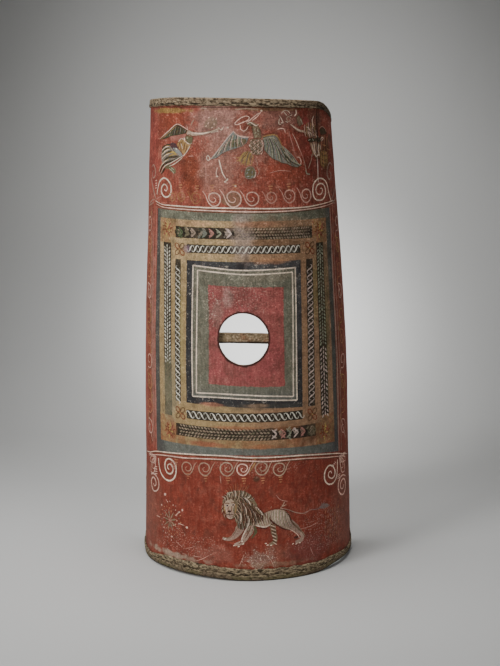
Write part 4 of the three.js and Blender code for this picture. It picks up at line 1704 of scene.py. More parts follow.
class Eagle(PaintedWork):
    """An eagle with spread wings, a wreath in its beak, between ribbons."""
    name = "paint_eagle"

    def brush(self, film: Film) -> None:
        """Brushes the bird from the tail up."""
        self._left_wing(film)
        self._right_wing(film)
        self._body(film)
        self._head(film)
        self._wreath(film)

    def _left_wing(self, film: Film) -> None:
        """The wing on the left, pale along its leading edge and blue-green inside."""
        film.shape(Pigment.BLUE_GREY, 0.9, 0, Pigment.BROWN, [(-14, 988), (-7, 980), (2, 977), (18, 974),
            (13, 963), (4, 956), (-8, 952), (-20, 948), (-30, 945), (-42, 939), (-52, 931), (-66, 928),
            (-50, 946), (-34, 965)], width=1.5, edge_strength=0.5, smooth=False)
        film.patch(Pigment.GREEN, 0.75, 1, [(-24, 966), (-10, 971), (6, 972), (13, 968), (6, 959),
            (-8, 955), (-22, 955)])
        film.feathers((Pigment.PALE_GREEN, Pigment.GREEN, Pigment.BLUE_GREY, Pigment.DARK_GREEN,
            Pigment.PINK_CREAM), 0.95, 2, 25, 1.2, 1.5, [(-34, 960), (-14, 980), (2, 974)], [(-60, 931),
            (-34, 944), (6, 957)])
        film.line(Pigment.PINK_WHITE, 0.9, 3, 2.0, [(-66, 928), (-48, 948), (-32, 968), (-15, 987)])
        film.line(Pigment.PINK_CREAM, 0.9, 3, 2.4, [(-15, 988), (-7, 980), (4, 976), (18, 975)])
        for s, z in ((-36, 956), (-30, 961), (-40, 950), (-24, 968), (-17, 974), (-12, 966)):
            film.spot((s, z), (4, 3), Pigment.GREY_PINK, 0.8, 3, 50)

    def _right_wing(self, film: Film) -> None:
        """The wing on the right, with an ochre leading edge and long dark quills."""
        film.shape(Pigment.GREY_GREEN, 0.92, 0, Pigment.DARK_GREEN, [(48, 974), (60, 979), (72, 980),
            (80, 975), (87, 962), (92, 950), (100, 938), (112, 927), (126, 919), (139, 915), (126, 911),
            (112, 914), (100, 919), (88, 921), (80, 926), (68, 930), (59, 938), (50, 948)], width=1.6,
            edge_strength=0.7, smooth=False)
        film.feathers((Pigment.BLUE_GREY, Pigment.GREEN, Pigment.PALE_GREEN, Pigment.DARK_GREEN,
            Pigment.BLUE_GREY, Pigment.GREY_PINK), 0.95, 2, 30, 1.3, -3.0, [(52, 970), (66, 974),
            (82, 964)], [(51, 947), (78, 925), (134, 914)])
        film.line(Pigment.OCHRE, 0.9, 3, (2, 3, 3, 2, 1.5, 1.2), [(46, 975), (60, 979), (72, 980),
            (81, 975), (88, 961), (96, 946)])
        film.line(Pigment.PALE_GREEN, 0.9, 3, 2.2, [(48, 971), (60, 974), (70, 974), (78, 968)])
        film.line(Pigment.PALE_GREEN, 0.85, 3, 1.8, [(96, 944), (108, 931), (124, 921), (137, 916)])
        film.line(Pigment.DARK_GREEN, 0.9, 3, 2.2, [(88, 952), (97, 937), (112, 923), (132, 914)])
        film.line(Pigment.DARK_GREEN, 0.75, 3, 1.5, [(82, 950), (92, 934), (106, 921), (120, 914)])
        film.line(Pigment.BROWN, 0.8, 3, 1.4, [(46, 980), (58, 983), (70, 984)])

    def _body(self, film: Film) -> None:
        """Breast, legs and tail."""
        film.shape(Pigment.GREEN, 0.8, 0, Pigment.GREY_GREEN, [(12, 911), (22, 914), (29, 906), (28, 894),
            (18, 889), (9, 891), (8, 901)])
        for s, z, turn in ((12, 900, 60), (16, 907, 20), (23, 902, 80), (14, 893, 10), (22, 893, 40)):
            film.spot((s, z), (7, 2.6), Pigment.BLUE_GREY, 0.85, 2, turn)
        film.line(Pigment.PINK_WHITE, 0.7, 2, 2.4, [(26, 890), (29, 894), (31, 903)])
        film.line(Pigment.GREY_PINK, 0.6, 0, 1.8, [(34, 912), (38, 903), (34, 895)], [(2, 908), (0, 900)],
            [(30, 932), (34, 922), (33, 914)])
        film.shape(Pigment.OLIVE, 0.9, 0, Pigment.BROWN, [(20, 968), (32, 973), (45, 970), (49, 958),
            (45, 946), (37, 938), (26, 940), (19, 952)], width=1.3, edge_strength=0.5)
        for row in range(10):
            for column in range(7):
                s = 22 + column * 4 + row % 2 * 2 + 1.5 * wobble(row, column, 2.0)
                pigment = (Pigment.PINK_CREAM, Pigment.BROWN, Pigment.GREY_PINK,
                    Pigment.GREY_GREEN)[(row * 3 + column) % 4]
                film.spot((min(s, 46), 968 - row * 3), (4.4, 1.7), pigment, 0.9, 2, 50 + 30 * wobble(row,
                    column, 7.0))
        film.line(Pigment.PINK_CREAM, 0.8, 3, 1.6, [(42, 970), (47, 965), (47, 955), (41, 944)])
        film.spot((19, 958), (3.5, 5), Pigment.CREAM, 0.9, 3)
        film.patch(Pigment.OLIVE, 0.8, 0, [(10, 945), (22, 944), (24, 934), (16, 928), (6, 926), (0, 932)])
        film.feathers((Pigment.YELLOW, Pigment.OCHRE, Pigment.OLIVE), 0.9, 1, 9, 2.0, 2.0, [(8, 944),
            (16, 946), (24, 942)], [(-4, 924), (8, 916), (20, 918)])
        film.line(Pigment.OCHRE, 0.9, 1, 1.8, [(14, 942), (2, 934), (-12, 932)], [(8, 938), (-4, 928),
            (-10, 925)], [(12, 934), (4, 924), (-2, 918)], [(20, 936), (14, 924), (12, 914)], [(26, 938),
            (24, 926), (20, 914)])
        film.line(Pigment.BROWN, 0.8, 2, 1.6, [(16, 948), (10, 938), (2, 930)], [(20, 940), (18, 926)])

    def _head(self, film: Film) -> None:
        """Neck and head, turned to the left."""
        film.shape(Pigment.OLIVE, 0.9, 0, Pigment.DARK_GREEN, [(27, 1000), (37, 999), (42, 990), (44, 978),
            (42, 973), (30, 972), (28, 980), (26, 990)], width=1.5)
        for s, z, turn in ((31, 992, 70), (37, 989, -60), (32, 984, 60), (38, 981, -70), (33, 977, 70)):
            film.spot((s, z), (6, 2.2), Pigment.PALE_GREEN, 0.8, 2, turn)
        film.line(Pigment.DARK, 0.8, 2, 1.4, [(34, 994), (34, 986)], [(40, 986), (38, 977)])
        film.patch(Pigment.OLIVE, 0.95, 1, [(15, 1003), (20, 1007), (30, 1005), (37, 1000), (28, 996),
            (20, 999)])
        film.line(Pigment.CREAM, 0.85, 2, 2.0, [(15, 1002), (21, 1006), (28, 1002), (34, 999), (39, 1002)])
        film.spot((25, 1000), (4, 2.4), Pigment.DARK, 0.9, 3)
        film.line(Pigment.BROWN, 0.8, 2, 1.6, [(28, 971), (36, 974), (44, 972)], [(24, 998), (24, 988)])

    def _wreath(self, film: Film) -> None:
        """Wreath and ribbons in the beak, and the threads that hang beside the wings."""
        film.line(Pigment.PINK_CREAM, 0.95, 0, 1.9, [(-11, 1003), (-5, 1010), (4, 1016), (14, 1019),
            (20, 1016), (16, 1010), (4, 1005), (-6, 1001)], closed=True)
        film.line(Pigment.PINK_CREAM, 0.95, 0, 1.9, [(1, 1000), (1, 992), (7, 988), (13, 991), (17, 998)])
        film.line(Pigment.PINK_CREAM, 0.85, 0, 1.9, [(18, 1009), (28, 1016), (36, 1022), (43, 1026)],
            [(26, 1010), (36, 1017), (42, 1024), (46, 1029)], [(14, 1006), (24, 1012)])
        film.spot((46, 1030), (5, 4), Pigment.CREAM, 0.8)
        film.spot((-26, 995), (4.4, 3.4), Pigment.CREAM, 1.0)
        film.line(Pigment.CREAM, 0.9, 0, 1.8, [(-74, 934), (-71, 937), (-67, 931), (-70, 926), (-74, 929)],
            closed=True)
        film.line(Pigment.CREAM, 0.9, 0, 2.2, [(-47, 929), (-44, 915), (-40, 900), (-33, 888)])
        film.spot((-31, 886), (7, 4), Pigment.CREAM, 0.9, 1, 50)
        film.spot((-35, 882), (5, 4), Pigment.CREAM, 1.0, 1, 20)
        film.line(Pigment.PINK_CREAM, 0.8, 0, 1.9, [(-51, 912), (-54, 900), (-53, 894)])
        film.spot((-52, 893), (5, 3.4), Pigment.CREAM, 0.95, 1)
        film.line(Pigment.PINK, 0.7, 0, 1.7, [(-77, 920), (-77, 898), (-78, 878)], [(-50, 988), (-51, 970),
            (-50, 958)], [(-28, 870), (-20, 874), (-14, 873)])
        film.spot((-13, 873), (5, 3.4), Pigment.CREAM, 0.9, 1)


class LeftFigure(PaintedWork):
    """A winged figure in a flowing dress that flies in from the left."""
    name = "paint_left_figure"

    def brush(self, film: Film) -> None:
        """Brushes wing, arm, bodice and skirt."""
        self._wing(film)
        self._dress(film)
        self._skirt(film)
        self._arm(film)

    def _wing(self, film: Film) -> None:
        """The dark green wing with its pale leading edge."""
        wing = [(-211, 969), (-196, 976), (-180, 984), (-164, 993), (-152, 1000), (-142, 1000), (-130, 995),
            (-118, 989), (-122, 983), (-138, 980), (-152, 978), (-166, 977), (-182, 972), (-198, 970)]
        film.patch(Pigment.PINK, 0.45, 0, [(-170, 976), (-140, 980), (-124, 982), (-126, 972), (-150, 968),
            (-168, 968)])
        film.patch(Pigment.DARK_GREEN, 0.95, 1, wing, smooth=False)
        film.patch(Pigment.GREEN, 0.95, 2, [(-190, 974), (-172, 981), (-160, 982), (-170, 977)])
        film.feathers((Pigment.GREEN, Pigment.NIGHT, Pigment.GREY_GREEN, Pigment.DARK_GREEN), 0.95, 3, 19,
            1.4, 0.0, [(-180, 982), (-150, 997), (-124, 990)], [(-196, 972), (-156, 979), (-126, 984)])
        film.line(Pigment.PINK_CREAM, 0.9, 4, 1.9, [(-212, 970), (-194, 978), (-176, 987), (-162, 995),
            (-151, 1001), (-142, 1002), (-130, 997), (-117, 990)])
        film.line(Pigment.OCHRE, 0.8, 4, 1.2, [(-206, 970), (-190, 976), (-172, 985), (-158, 993),
            (-148, 998)])

    def _arm(self, film: Film) -> None:
        """Shoulder, outstretched arm and what it carries."""
        film.shape(Pigment.BEIGE, 0.95, 2, Pigment.BROWN, [(-122, 982), (-116, 990), (-106, 987),
            (-92, 985), (-78, 986), (-62, 989), (-48, 994), (-40, 996), (-46, 990), (-62, 984), (-78, 980),
            (-94, 978), (-108, 977), (-117, 978)], width=1.3, edge_strength=0.55)
        film.line(Pigment.CREAM, 0.75, 4, (2, 3.4, 2.6, 1.5), [(-112, 984), (-94, 983), (-80, 983),
            (-62, 987)])
        film.patch(Pigment.OLIVE, 0.5, 0, [(-78, 998), (-70, 1012), (-56, 1018), (-48, 1010), (-50, 998),
            (-62, 992)])
        for s, z, turn in ((-66, 1016, 30), (-57, 1012, 70), (-68, 1004, 60), (-55, 1002, 90), (-60,
                995, 20), (-73, 998, 50), (-50, 1013, 70), (-39, 992, 60)):
            film.spot((s, z), (5, 1.9), Pigment.PINK_CREAM, 0.7, 1, turn)
        film.line(Pigment.BEIGE, 0.8, 0, 2.6, [(-109, 1000), (-105, 1007), (-101, 1012)])
        film.line(Pigment.CREAM, 0.8, 3, 1.8, [(-62, 984), (-56, 986), (-46, 988)], [(-46, 996), (-40, 990),
            (-34, 998)])
        film.line(Pigment.PINK, 0.6, 0, 1.6, [(-62, 976), (-58, 966), (-62, 958)], [(-48, 985), (-50, 970),
            (-49, 958)])

    def _dress(self, film: Film) -> None:
        """The bodice and the knot at the shoulder."""
        film.shape(Pigment.OCHRE, 0.85, 0, Pigment.BROWN, [(-148, 962), (-134, 971), (-122, 968),
            (-110, 961), (-117, 948), (-128, 938), (-138, 944), (-146, 952)], width=1.4)
        film.line(Pigment.DARK, 0.8, 2, 1.8, [(-140, 964), (-146, 950)], [(-134, 966), (-138, 950),
            (-136, 942)], [(-126, 962), (-130, 948)], [(-120, 958), (-125, 944)])
        film.line(Pigment.CREAM, 0.85, 3, 1.9, [(-144, 965), (-136, 972), (-130, 970)], [(-137, 962),
            (-133, 950)], [(-128, 968), (-116, 961), (-108, 962)], [(-113, 957), (-122, 944), (-133, 934)])
        film.shape(Pigment.GREEN, 0.85, 2, Pigment.DARK_GREEN, [(-124, 976), (-112, 980), (-106, 974),
            (-108, 962), (-116, 962), (-122, 968)], width=1.4)
        film.spot((-127, 971), (4, 6), Pigment.CREAM, 1.0, 4, 20)
        film.spot((-119, 973), (4, 2.6), Pigment.PALE_GREEN, 0.9, 4)

    def _skirt(self, film: Film) -> None:
        """The skirt, blown back in long folds, and the feet."""
        film.patch(Pigment.GREY_GREEN, 0.8, 0, [(-198, 950), (-176, 956), (-150, 948), (-134, 936),
            (-150, 928), (-176, 920), (-200, 916), (-206, 934)])
        film.patch(Pigment.NIGHT, 0.85, 1, [(-172, 960), (-158, 963), (-148, 956), (-140, 946), (-134, 938),
            (-146, 938), (-160, 946)])
        film.patch(Pigment.BLUE_GREY, 0.9, 2, [(-162, 952), (-150, 951), (-138, 943), (-133, 934),
            (-144, 936), (-156, 944)])
        film.spot((-151, 950), (6, 4), Pigment.WHITE, 0.95, 4, -30)
        film.line(Pigment.YELLOW, 0.9, 3, (2, 5, 3), [(-176, 941), (-164, 943), (-152, 940)])
        film.line(Pigment.YELLOW, 0.75, 3, (2, 3, 2), [(-176, 934), (-160, 938), (-150, 938)])
        dark = ([(-202, 941), (-186, 950), (-172, 951)], [(-202, 951), (-186, 957), (-172, 960)],
            [(-200, 932), (-184, 941), (-166, 946)], [(-196, 925), (-178, 932), (-158, 933), (-144, 936)],
            [(-212, 900), (-200, 914), (-182, 921), (-160, 926), (-138, 934)], [(-206, 896), (-190, 909)])
        film.line(Pigment.DARK_GREEN, 0.95, 3, (1.8, 3.6, 2.4), *dark)
        film.line(Pigment.BLACK, 0.9, 4, 1.2, *[[(s + 1, z - 1.6) for s, z in line] for line in dark])
        pale = ([(-202, 946), (-188, 953), (-174, 955)], [(-203, 936), (-188, 945), (-172, 949)],
            [(-203, 928), (-188, 936), (-172, 940)], [(-216, 899), (-208, 911), (-195, 920), (-178, 927)],
            [(-210, 895), (-200, 906), (-188, 914), (-172, 919), (-154, 926), (-138, 933), (-128, 938)],
            [(-176, 912), (-160, 917), (-146, 924), (-134, 932)])
        film.line(Pigment.CREAM, 0.95, 5, (1.0, 2.0, 1.4), *pale)
        film.line(Pigment.YELLOW, 0.8, 5, 1.1, *[[(s + 2, z + 2) for s, z in line] for line in pale[:4]])
        film.patch(Pigment.GREEN, 0.85, 1, [(-196, 912), (-184, 917), (-170, 915), (-172, 908),
            (-186, 907)])
        film.patch(Pigment.GREEN, 0.85, 1, [(-178, 908), (-166, 911), (-156, 906), (-156, 898),
            (-166, 900)])
        film.line(Pigment.PALE_GREEN, 0.95, 3, 2.2, [(-176, 908), (-168, 904), (-160, 897)], [(-170, 910),
            (-160, 905)])
        film.line(Pigment.PINK, 0.8, 0, 2.8, [(-118, 935), (-105, 935)])


class RightFigure(PaintedWork):
    """A winged figure that flies in from the right, holding a wreath with long ribbons."""
    name = "paint_right_figure"

    def brush(self, film: Film) -> None:
        """Brushes wreath, arm, dress and ribbons."""
        self._wreath(film)
        self._ribbons(film)
        self._figure(film)
        self._dress(film)

    def _wreath(self, film: Film) -> None:
        """The raised wreath."""
        film.line(Pigment.CREAM, 0.75, 0, 2.0, [(90, 1024), (97, 1030), (106, 1030), (112, 1024)])
        film.line(Pigment.BEIGE, 0.85, 0, 2.0, spiral((108, 1013), (5, 5), 0, 330))
        film.line(Pigment.CREAM, 0.8, 0, 1.8, [(86, 1020), (91, 1012), (95, 1004)], [(86, 1014), (84, 1003),
            (89, 1002)], [(100, 1008), (106, 1006)], [(96, 1028), (104, 1020)], [(112, 1020), (118, 1022)])
        film.line(Pigment.CREAM, 0.9, 0, 2.4, [(127, 1033), (128, 1025), (123, 1019)])
        film.spot((91, 1005), (4, 3), Pigment.CREAM, 0.9, 1)
        film.line(Pigment.PINK, 0.7, 0, 1.7, [(114, 1027), (118, 1020)], [(116, 1014), (120, 1008)],
            [(104, 1026), (110, 1020)])
        film.line(Pigment.PINK, 0.5, 0, 1.5, [(60, 1006), (68, 1000), (72, 992)], [(56, 1010), (74, 1012),
            (82, 1018)])

    def _ribbons(self, film: Film) -> None:
        """The ribbons that fall from the wreath and the dress."""
        film.line(Pigment.PINK, 0.95, 0, 2.1, [(116, 983), (124, 970), (131, 955), (138, 942), (145, 928)],
            [(108, 988), (112, 972), (117, 956), (121, 940), (126, 932)])
        film.line(Pigment.CREAM, 0.8, 1, 1.2, [(117, 982), (126, 966), (134, 948)])
        film.line(Pigment.PINK_CREAM, 0.9, 0, 1.9, [(79, 991), (88, 993), (96, 992), (99, 984)])
        film.line(Pigment.PINK_CREAM, 0.95, 0, 2.6, [(127, 933), (133, 932), (137, 925), (136, 917)])
        film.line(Pigment.BEIGE, 0.85, 0, 2.1, [(145, 928), (149, 914), (153, 900)], [(168, 938),
            (170, 930), (164, 918), (158, 908)], [(170, 950), (174, 944), (171, 932)])
        film.line(Pigment.PALE_GREEN, 0.9, 1, 2.8, [(150, 904), (154, 897), (163, 896)])

    def _figure(self, film: Film) -> None:
        """Arm, hair, wing and the tied waist."""
        film.line(Pigment.BEIGE, 0.95, 0, (3.5, 4.5, 4.5, 4, 4, 3), [(112, 1002), (120, 997), (130, 991),
            (138, 988), (150, 986), (160, 980)])
        film.line(Pigment.CREAM, 0.8, 1, 2.0, [(114, 1001), (126, 993), (138, 989)])
        film.line(Pigment.BROWN, 0.8, 1, 1.3, [(116, 996), (130, 986), (146, 982)])
        film.shape(Pigment.OLIVE, 0.8, 0, Pigment.DARK_GREEN, [(129, 1016), (136, 1020), (141, 1012),
            (142, 1002), (135, 998), (130, 1006)])
        film.line(Pigment.PALE_GREEN, 0.9, 2, 2.4, [(139, 1014), (143, 1006), (145, 1001)])
        film.patch(Pigment.CRIMSON, 0.8, 0, [(148, 1012), (156, 1018), (166, 1010), (166, 1000), (156, 996),
            (148, 1002)])
        film.shape(Pigment.GREY_PINK, 0.6, 0, Pigment.BROWN, [(158, 994), (172, 996), (186, 992),
            (192, 982), (180, 974), (162, 976), (154, 984)])
        film.line(Pigment.CREAM, 0.75, 2, 1.9, [(156, 996), (162, 995), (168, 988)], [(166, 986),
            (174, 978)], [(180, 996), (176, 1010), (182, 1020)], [(186, 982), (190, 974)], [(160, 986),
            (166, 978)])
        film.line(Pigment.DARK, 0.75, 2, 1.6, [(162, 990), (172, 984)], [(176, 992), (184, 984)],
            [(170, 980), (180, 976)])
        film.shape(Pigment.DARK_GREEN, 0.95, 2, Pigment.DARK, [(158, 969), (170, 973), (184, 972),
            (198, 974), (206, 968), (198, 962), (180, 965), (166, 964)], width=1.3)
        film.feathers((Pigment.OLIVE, Pigment.PINK_CREAM, Pigment.DARK_GREEN, Pigment.OCHRE), 0.75, 1, 13,
            1.4, 2.0, [(150, 1000), (166, 1006), (184, 1000)], [(152, 976), (168, 970), (190, 972)])
        film.feathers((Pigment.DARK_GREEN, Pigment.BEIGE, Pigment.OCHRE), 0.75, 2, 13, 1.4, 1.0,
            [(164, 964), (182, 966), (202, 964)], [(176, 936), (188, 928), (204, 932)])
        film.feathers((Pigment.DARK_GREEN, Pigment.BROWN, Pigment.OLIVE, Pigment.ORANGE), 0.6, 1, 15, 1.6,
            2.0, [(206, 978), (224, 980), (246, 972)], [(202, 944), (222, 938), (250, 944)])
        film.feathers((Pigment.BROWN, Pigment.OCHRE, Pigment.OLIVE), 0.75, 3, 11, 1.6, 1.0, [(204, 940),
            (222, 946), (240, 938)], [(202, 914), (222, 904), (238, 912)])
        film.line(Pigment.PALE_GREEN, 0.85, 4, 2.2, [(160, 968), (168, 970)], [(174, 972), (178, 966)],
            [(196, 977), (192, 971)])
        film.shape(Pigment.DARK_GREEN, 0.85, 0, Pigment.DARK, [(204, 990), (214, 995), (226, 992),
            (236, 984), (226, 980), (208, 980)])
        film.line(Pigment.BEIGE, 0.75, 2, 1.8, [(202, 993), (214, 997), (226, 994), (238, 986)])
        film.patch(Pigment.DARK_GREEN, 0.6, 0, [(248, 980), (262, 980), (272, 970), (262, 962), (250, 968)])

    def _dress(self, film: Film) -> None:
        """Bodice and blown skirt, across the fold in the hide."""
        film.patch(Pigment.GREY_PINK, 0.65, 0, [(170, 962), (184, 965), (202, 964), (208, 950), (198, 936),
            (184, 932), (172, 944)])
        film.line(Pigment.CREAM, 0.85, 3, 2.4, [(172, 960), (175, 948), (181, 938), (187, 932)],
            [(181, 960), (179, 950), (184, 940)], [(205, 968), (212, 974), (218, 972), (210, 966)],
            [(196, 960), (194, 948), (197, 938)], [(186, 932), (192, 936), (200, 936)], [(202, 958),
            (204, 948)])
        film.line(Pigment.DARK, 0.8, 2, 2.2, [(176, 956), (183, 944)], [(186, 956), (190, 942)],
            [(200, 956), (198, 942)], [(190, 930), (198, 928)], [(178, 936), (184, 928)])
        film.shape(Pigment.OCHRE, 0.7, 0, Pigment.BROWN, [(200, 936), (212, 946), (230, 944), (240, 930),
            (230, 914), (210, 910), (202, 922)])
        film.line(Pigment.BROWN, 0.85, 2, 2.2, [(204, 940), (218, 934), (236, 936)], [(202, 930),
            (216, 924), (234, 926)], [(208, 920), (220, 914)], [(212, 952), (228, 950), (240, 942)])
        film.line(Pigment.ORANGE, 0.75, 3, 2.0, [(208, 944), (222, 938), (238, 942)], [(206, 926),
            (220, 919), (232, 920)], [(214, 958), (230, 956)], [(238, 950), (250, 946), (262, 948)])


class Lion(PaintedWork):
    """A lion that strides to the left."""
    name = "paint_lion"

    def brush(self, film: Film) -> None:
        """Brushes the far legs, body, near legs, mane and head."""
        self._far_legs(film)
        self._body(film)
        self._near_legs(film)
        self._mane(film)
        self._head(film)

    def _far_legs(self, film: Film) -> None:
        """The two legs on the far side."""
        film.line(Pigment.GREY_PINK, 0.85, 0, (22, 17, 12, 8, 6), [(-14, 128), (-22, 112), (-33, 100),
            (-46, 95), (-56, 97)], ends=(0.9, 0.8))
        film.line(Pigment.OLIVE, 0.8, 1, 1.8, [(-22, 124), (-32, 106), (-42, 99), (-56, 100)])
        film.line(Pigment.BROWN, 0.7, 1, 1.6, [(-6, 118), (-16, 104), (-28, 93), (-44, 90)])
        film.line(Pigment.OLIVE, 0.85, 0, (17, 13, 11, 9, 7), [(56, 130), (58, 112), (62, 98), (60, 88),
            (48, 83)], ends=(0.9, 0.8))
        for step in range(11):
            z = 126 - step * 4
            film.line((Pigment.CREAM, Pigment.DARK)[step % 2], 0.75, 1, 1.5, [(51 + step * 0.6, z + 1),
                (63 + step * 0.2, z - 4)])

    def _body(self, film: Film) -> None:
        """Body, rump and tail."""
        film.shape(Pigment.BEIGE, 0.92, 0, Pigment.DARK, [(0, 150), (20, 155), (36, 156), (46, 160),
            (60, 163), (75, 162), (88, 156), (96, 145), (101, 132), (106, 122), (98, 112), (82, 117),
            (68, 126), (54, 130), (40, 124), (22, 125), (6, 130), (-10, 130)], width=1.6, edge_strength=0.6)
        film.feathers((Pigment.OLIVE, Pigment.PINK_WHITE, Pigment.GREY_PINK, Pigment.PALE_GREEN), 0.95, 2,
            26, 1.1, 3.0, [(54, 159), (72, 160), (92, 151)], [(58, 131), (78, 119), (104, 117)])
        film.feathers((Pigment.OLIVE, Pigment.PINK_WHITE, Pigment.BROWN, Pigment.PALE_GREEN), 0.95, 2, 22,
            1.1, 2.0, [(0, 148), (26, 154), (50, 157)], [(4, 130), (26, 126), (54, 130)])
        film.line(Pigment.DARK, 0.75, 3, (1.5, 4, 3, 4, 3, 2), [(52, 150), (50, 142), (56, 134), (66, 126),
            (80, 117), (98, 111)])
        film.line(Pigment.CREAM, 0.95, 3, 2.4, [(18, 129), (26, 126), (40, 124), (51, 129)])
        film.line(Pigment.DARK, 0.8, 3, 1.6, [(18, 122), (32, 121), (46, 121)])
        film.line(Pigment.DARK_GREEN, 0.8, 3, 2.2, [(84, 157), (94, 146), (100, 132), (110, 118)])
        film.line(Pigment.GREY_PINK, 0.85, 0, (3, 3, 2.6, 2.2, 2, 2, 2), [(74, 164), (88, 160), (102, 154),
            (118, 148), (134, 145), (148, 149), (156, 150)])
        film.line(Pigment.DARK, 0.7, 1, 1.4, [(72, 162), (92, 158), (106, 150)])
        film.line(Pigment.BEIGE, 0.8, 1, 2.0, [(74, 164), (80, 171), (84, 178)], [(78, 168), (88, 171)],
            [(52, 166), (54, 170)])

    def _near_legs(self, film: Film) -> None:
        """The two legs on the near side, with their claws."""
        film.line(Pigment.GREY_PINK, 0.9, 2, (26, 17, 12, 10, 9, 7), [(96, 128), (110, 116), (122, 104),
            (129, 94), (124, 85), (110, 82)], ends=(0.8, 0.8))
        film.line(Pigment.OLIVE, 0.85, 3, (2, 4, 3.4, 2.4), [(104, 128), (116, 114), (128, 102), (133, 92)])
        film.line(Pigment.CREAM, 0.7, 3, 2.0, [(92, 116), (106, 107), (116, 98), (120, 90)])
        film.spot((112, 93), (12, 6), Pigment.DARK, 0.8, 1, 10)
        film.line(Pigment.GREY_PINK, 0.92, 2, (18, 18, 13, 10, 8), [(10, 134), (4, 116), (-5, 100),
            (-14, 89), (-29, 83)], ends=(0.8, 0.8))
        film.line(Pigment.CREAM, 0.9, 4, (2, 3, 2.6, 2), [(3, 136), (-3, 120), (-10, 106), (-14, 94)])
        film.line(Pigment.GREEN, 0.85, 3, (5, 7, 5, 3), [(14, 128), (18, 116), (14, 106), (8, 98)])
        film.line(Pigment.BROWN, 0.8, 4, 1.6, [(8, 128), (2, 112), (-6, 98)], [(4, 124), (-2, 110)],
            [(12, 122), (6, 106), (-2, 92)], [(-8, 94), (-20, 86)])
        film.line(Pigment.PALE_GREEN, 0.8, 5, 1.4, [(10, 118), (5, 104)], [(6, 126), (0, 116)])
        for s, z in ((104, 79), (112, 78), (121, 79), (-30, 82), (-20, 80), (-10, 86), (-12, 92), (-50, 96),
                (44, 82), (52, 81), (40, 86)):
            film.spot((s, z), (5, 2.4), Pigment.CREAM, 0.95, 5, s % 40)

    def _mane(self, film: Film) -> None:
        """The long locks of the mane."""
        film.patch(Pigment.OLIVE, 0.9, 2, [(-55, 178), (-50, 192), (-40, 201), (-27, 207), (-10, 207),
            (4, 201), (13, 190), (21, 177), (27, 166), (37, 155), (34, 142), (22, 132), (8, 128), (-4, 126),
            (-14, 120), (-22, 124), (-25, 138), (-30, 150), (-44, 160)])
        locks = (Pigment.BEIGE, Pigment.DARK, Pigment.GREY_GREEN, Pigment.CREAM, Pigment.DARK_GREEN,
            Pigment.BROWN)
        film.feathers(locks[3:] + locks[:3], 0.95, 3, 30, 1.3, 1.5, [(-48, 188), (-30, 194), (-8, 194),
            (8, 186)], [(-56, 192), (-38, 207), (-8, 208), (17, 191)])
        film.feathers((Pigment.OLIVE, Pigment.ORANGE), 0.6, 1, 11, 0.9, 2.0, [(-44, 196), (-28, 204),
            (-8, 205)], [(-52, 206), (-26, 226), (4, 220)])
        film.feathers(locks, 0.85, 4, 11, 1.9, -2.5, [(-20, 196), (-2, 190), (10, 178), (20, 168)],
            [(-6, 182), (10, 172), (24, 160), (38, 148)])
        film.feathers(locks, 0.85, 4, 14, 1.9, -3.0, [(-18, 186), (-8, 178), (6, 168), (18, 158)],
            [(-12, 160), (2, 150), (18, 144), (34, 136)])
        film.feathers(locks, 0.85, 5, 15, 1.9, -2.0, [(-22, 166), (-12, 158), (2, 150), (16, 144)],
            [(-22, 138), (-10, 128), (4, 128), (18, 130)])
        film.feathers((Pigment.DARK_GREEN, Pigment.GREY_GREEN, Pigment.DARK), 0.85, 5, 8, 1.8, -1.0,
            [(-24, 144), (-14, 138), (-4, 134)], [(-20, 122), (-12, 117), (-2, 122)])
        film.line(Pigment.PALE_GREEN, 0.85, 5, 3.0, [(-44, 198), (-40, 202), (-34, 203)])
        film.feathers((Pigment.DARK, Pigment.BROWN, Pigment.DARK), 0.95, 6, 20, 1.0, -3.0, [(-16, 192),
            (0, 182), (14, 168), (26, 154)], [(-10, 132), (4, 130), (18, 134), (34, 142)])
        film.line(Pigment.DARK, 0.7, 5, 1.8, [(20, 176), (28, 164), (38, 154), (42, 146)])

    def _head(self, film: Film) -> None:
        """A plain generic lion's face, turned to the front."""
        film.shape(Pigment.OLIVE, 0.95, 5, Pigment.DARK, [(-47, 184), (-38, 190), (-26, 189), (-19, 180),
            (-20, 164), (-26, 150), (-34, 142), (-43, 143), (-48, 152), (-53, 164), (-52, 176)], width=1.4,
            edge_strength=0.6)
        film.patch(Pigment.BEIGE, 0.95, 6, [(-48, 182), (-38, 188), (-30, 184), (-30, 170), (-34, 160),
            (-46, 160), (-51, 170)])
        film.patch(Pigment.GREY_PINK, 0.95, 6, [(-49, 163), (-40, 166), (-31, 161), (-31, 150), (-38, 144),
            (-46, 147)])
        film.feathers((Pigment.DARK, Pigment.BEIGE, Pigment.OLIVE), 0.95, 7, 15, 1.2, 1.0, [(-50, 182),
            (-38, 186), (-22, 184)], [(-54, 192), (-38, 199), (-16, 196)])
        film.feathers((Pigment.DARK, Pigment.BEIGE, Pigment.DARK_GREEN), 0.95, 7, 15, 1.3, -1.5,
            [(-21, 182), (-22, 166), (-30, 148)], [(-14, 172), (-16, 152), (-26, 136)])
        film.feathers((Pigment.DARK, Pigment.OLIVE, Pigment.BEIGE), 0.9, 4, 11, 1.2, 1.0, [(-51, 178),
            (-52, 164), (-46, 150)], [(-57, 170), (-57, 154), (-48, 140)])
        for centre, turn in (((-44, 173), -8), ((-31, 175), 8)):
            film.spot(centre, (8, 4), Pigment.PINK_WHITE, 0.9, 7, turn)
            film.spot(centre, (5, 3.4), Pigment.BLACK, 1.0, 8, turn)
            film.line(Pigment.BROWN, 0.85, 7, 1.5, [(centre[0] - 5, centre[1] + 4), (centre[0],
                centre[1] + 5.5), (centre[0] + 5, centre[1] + 4)])
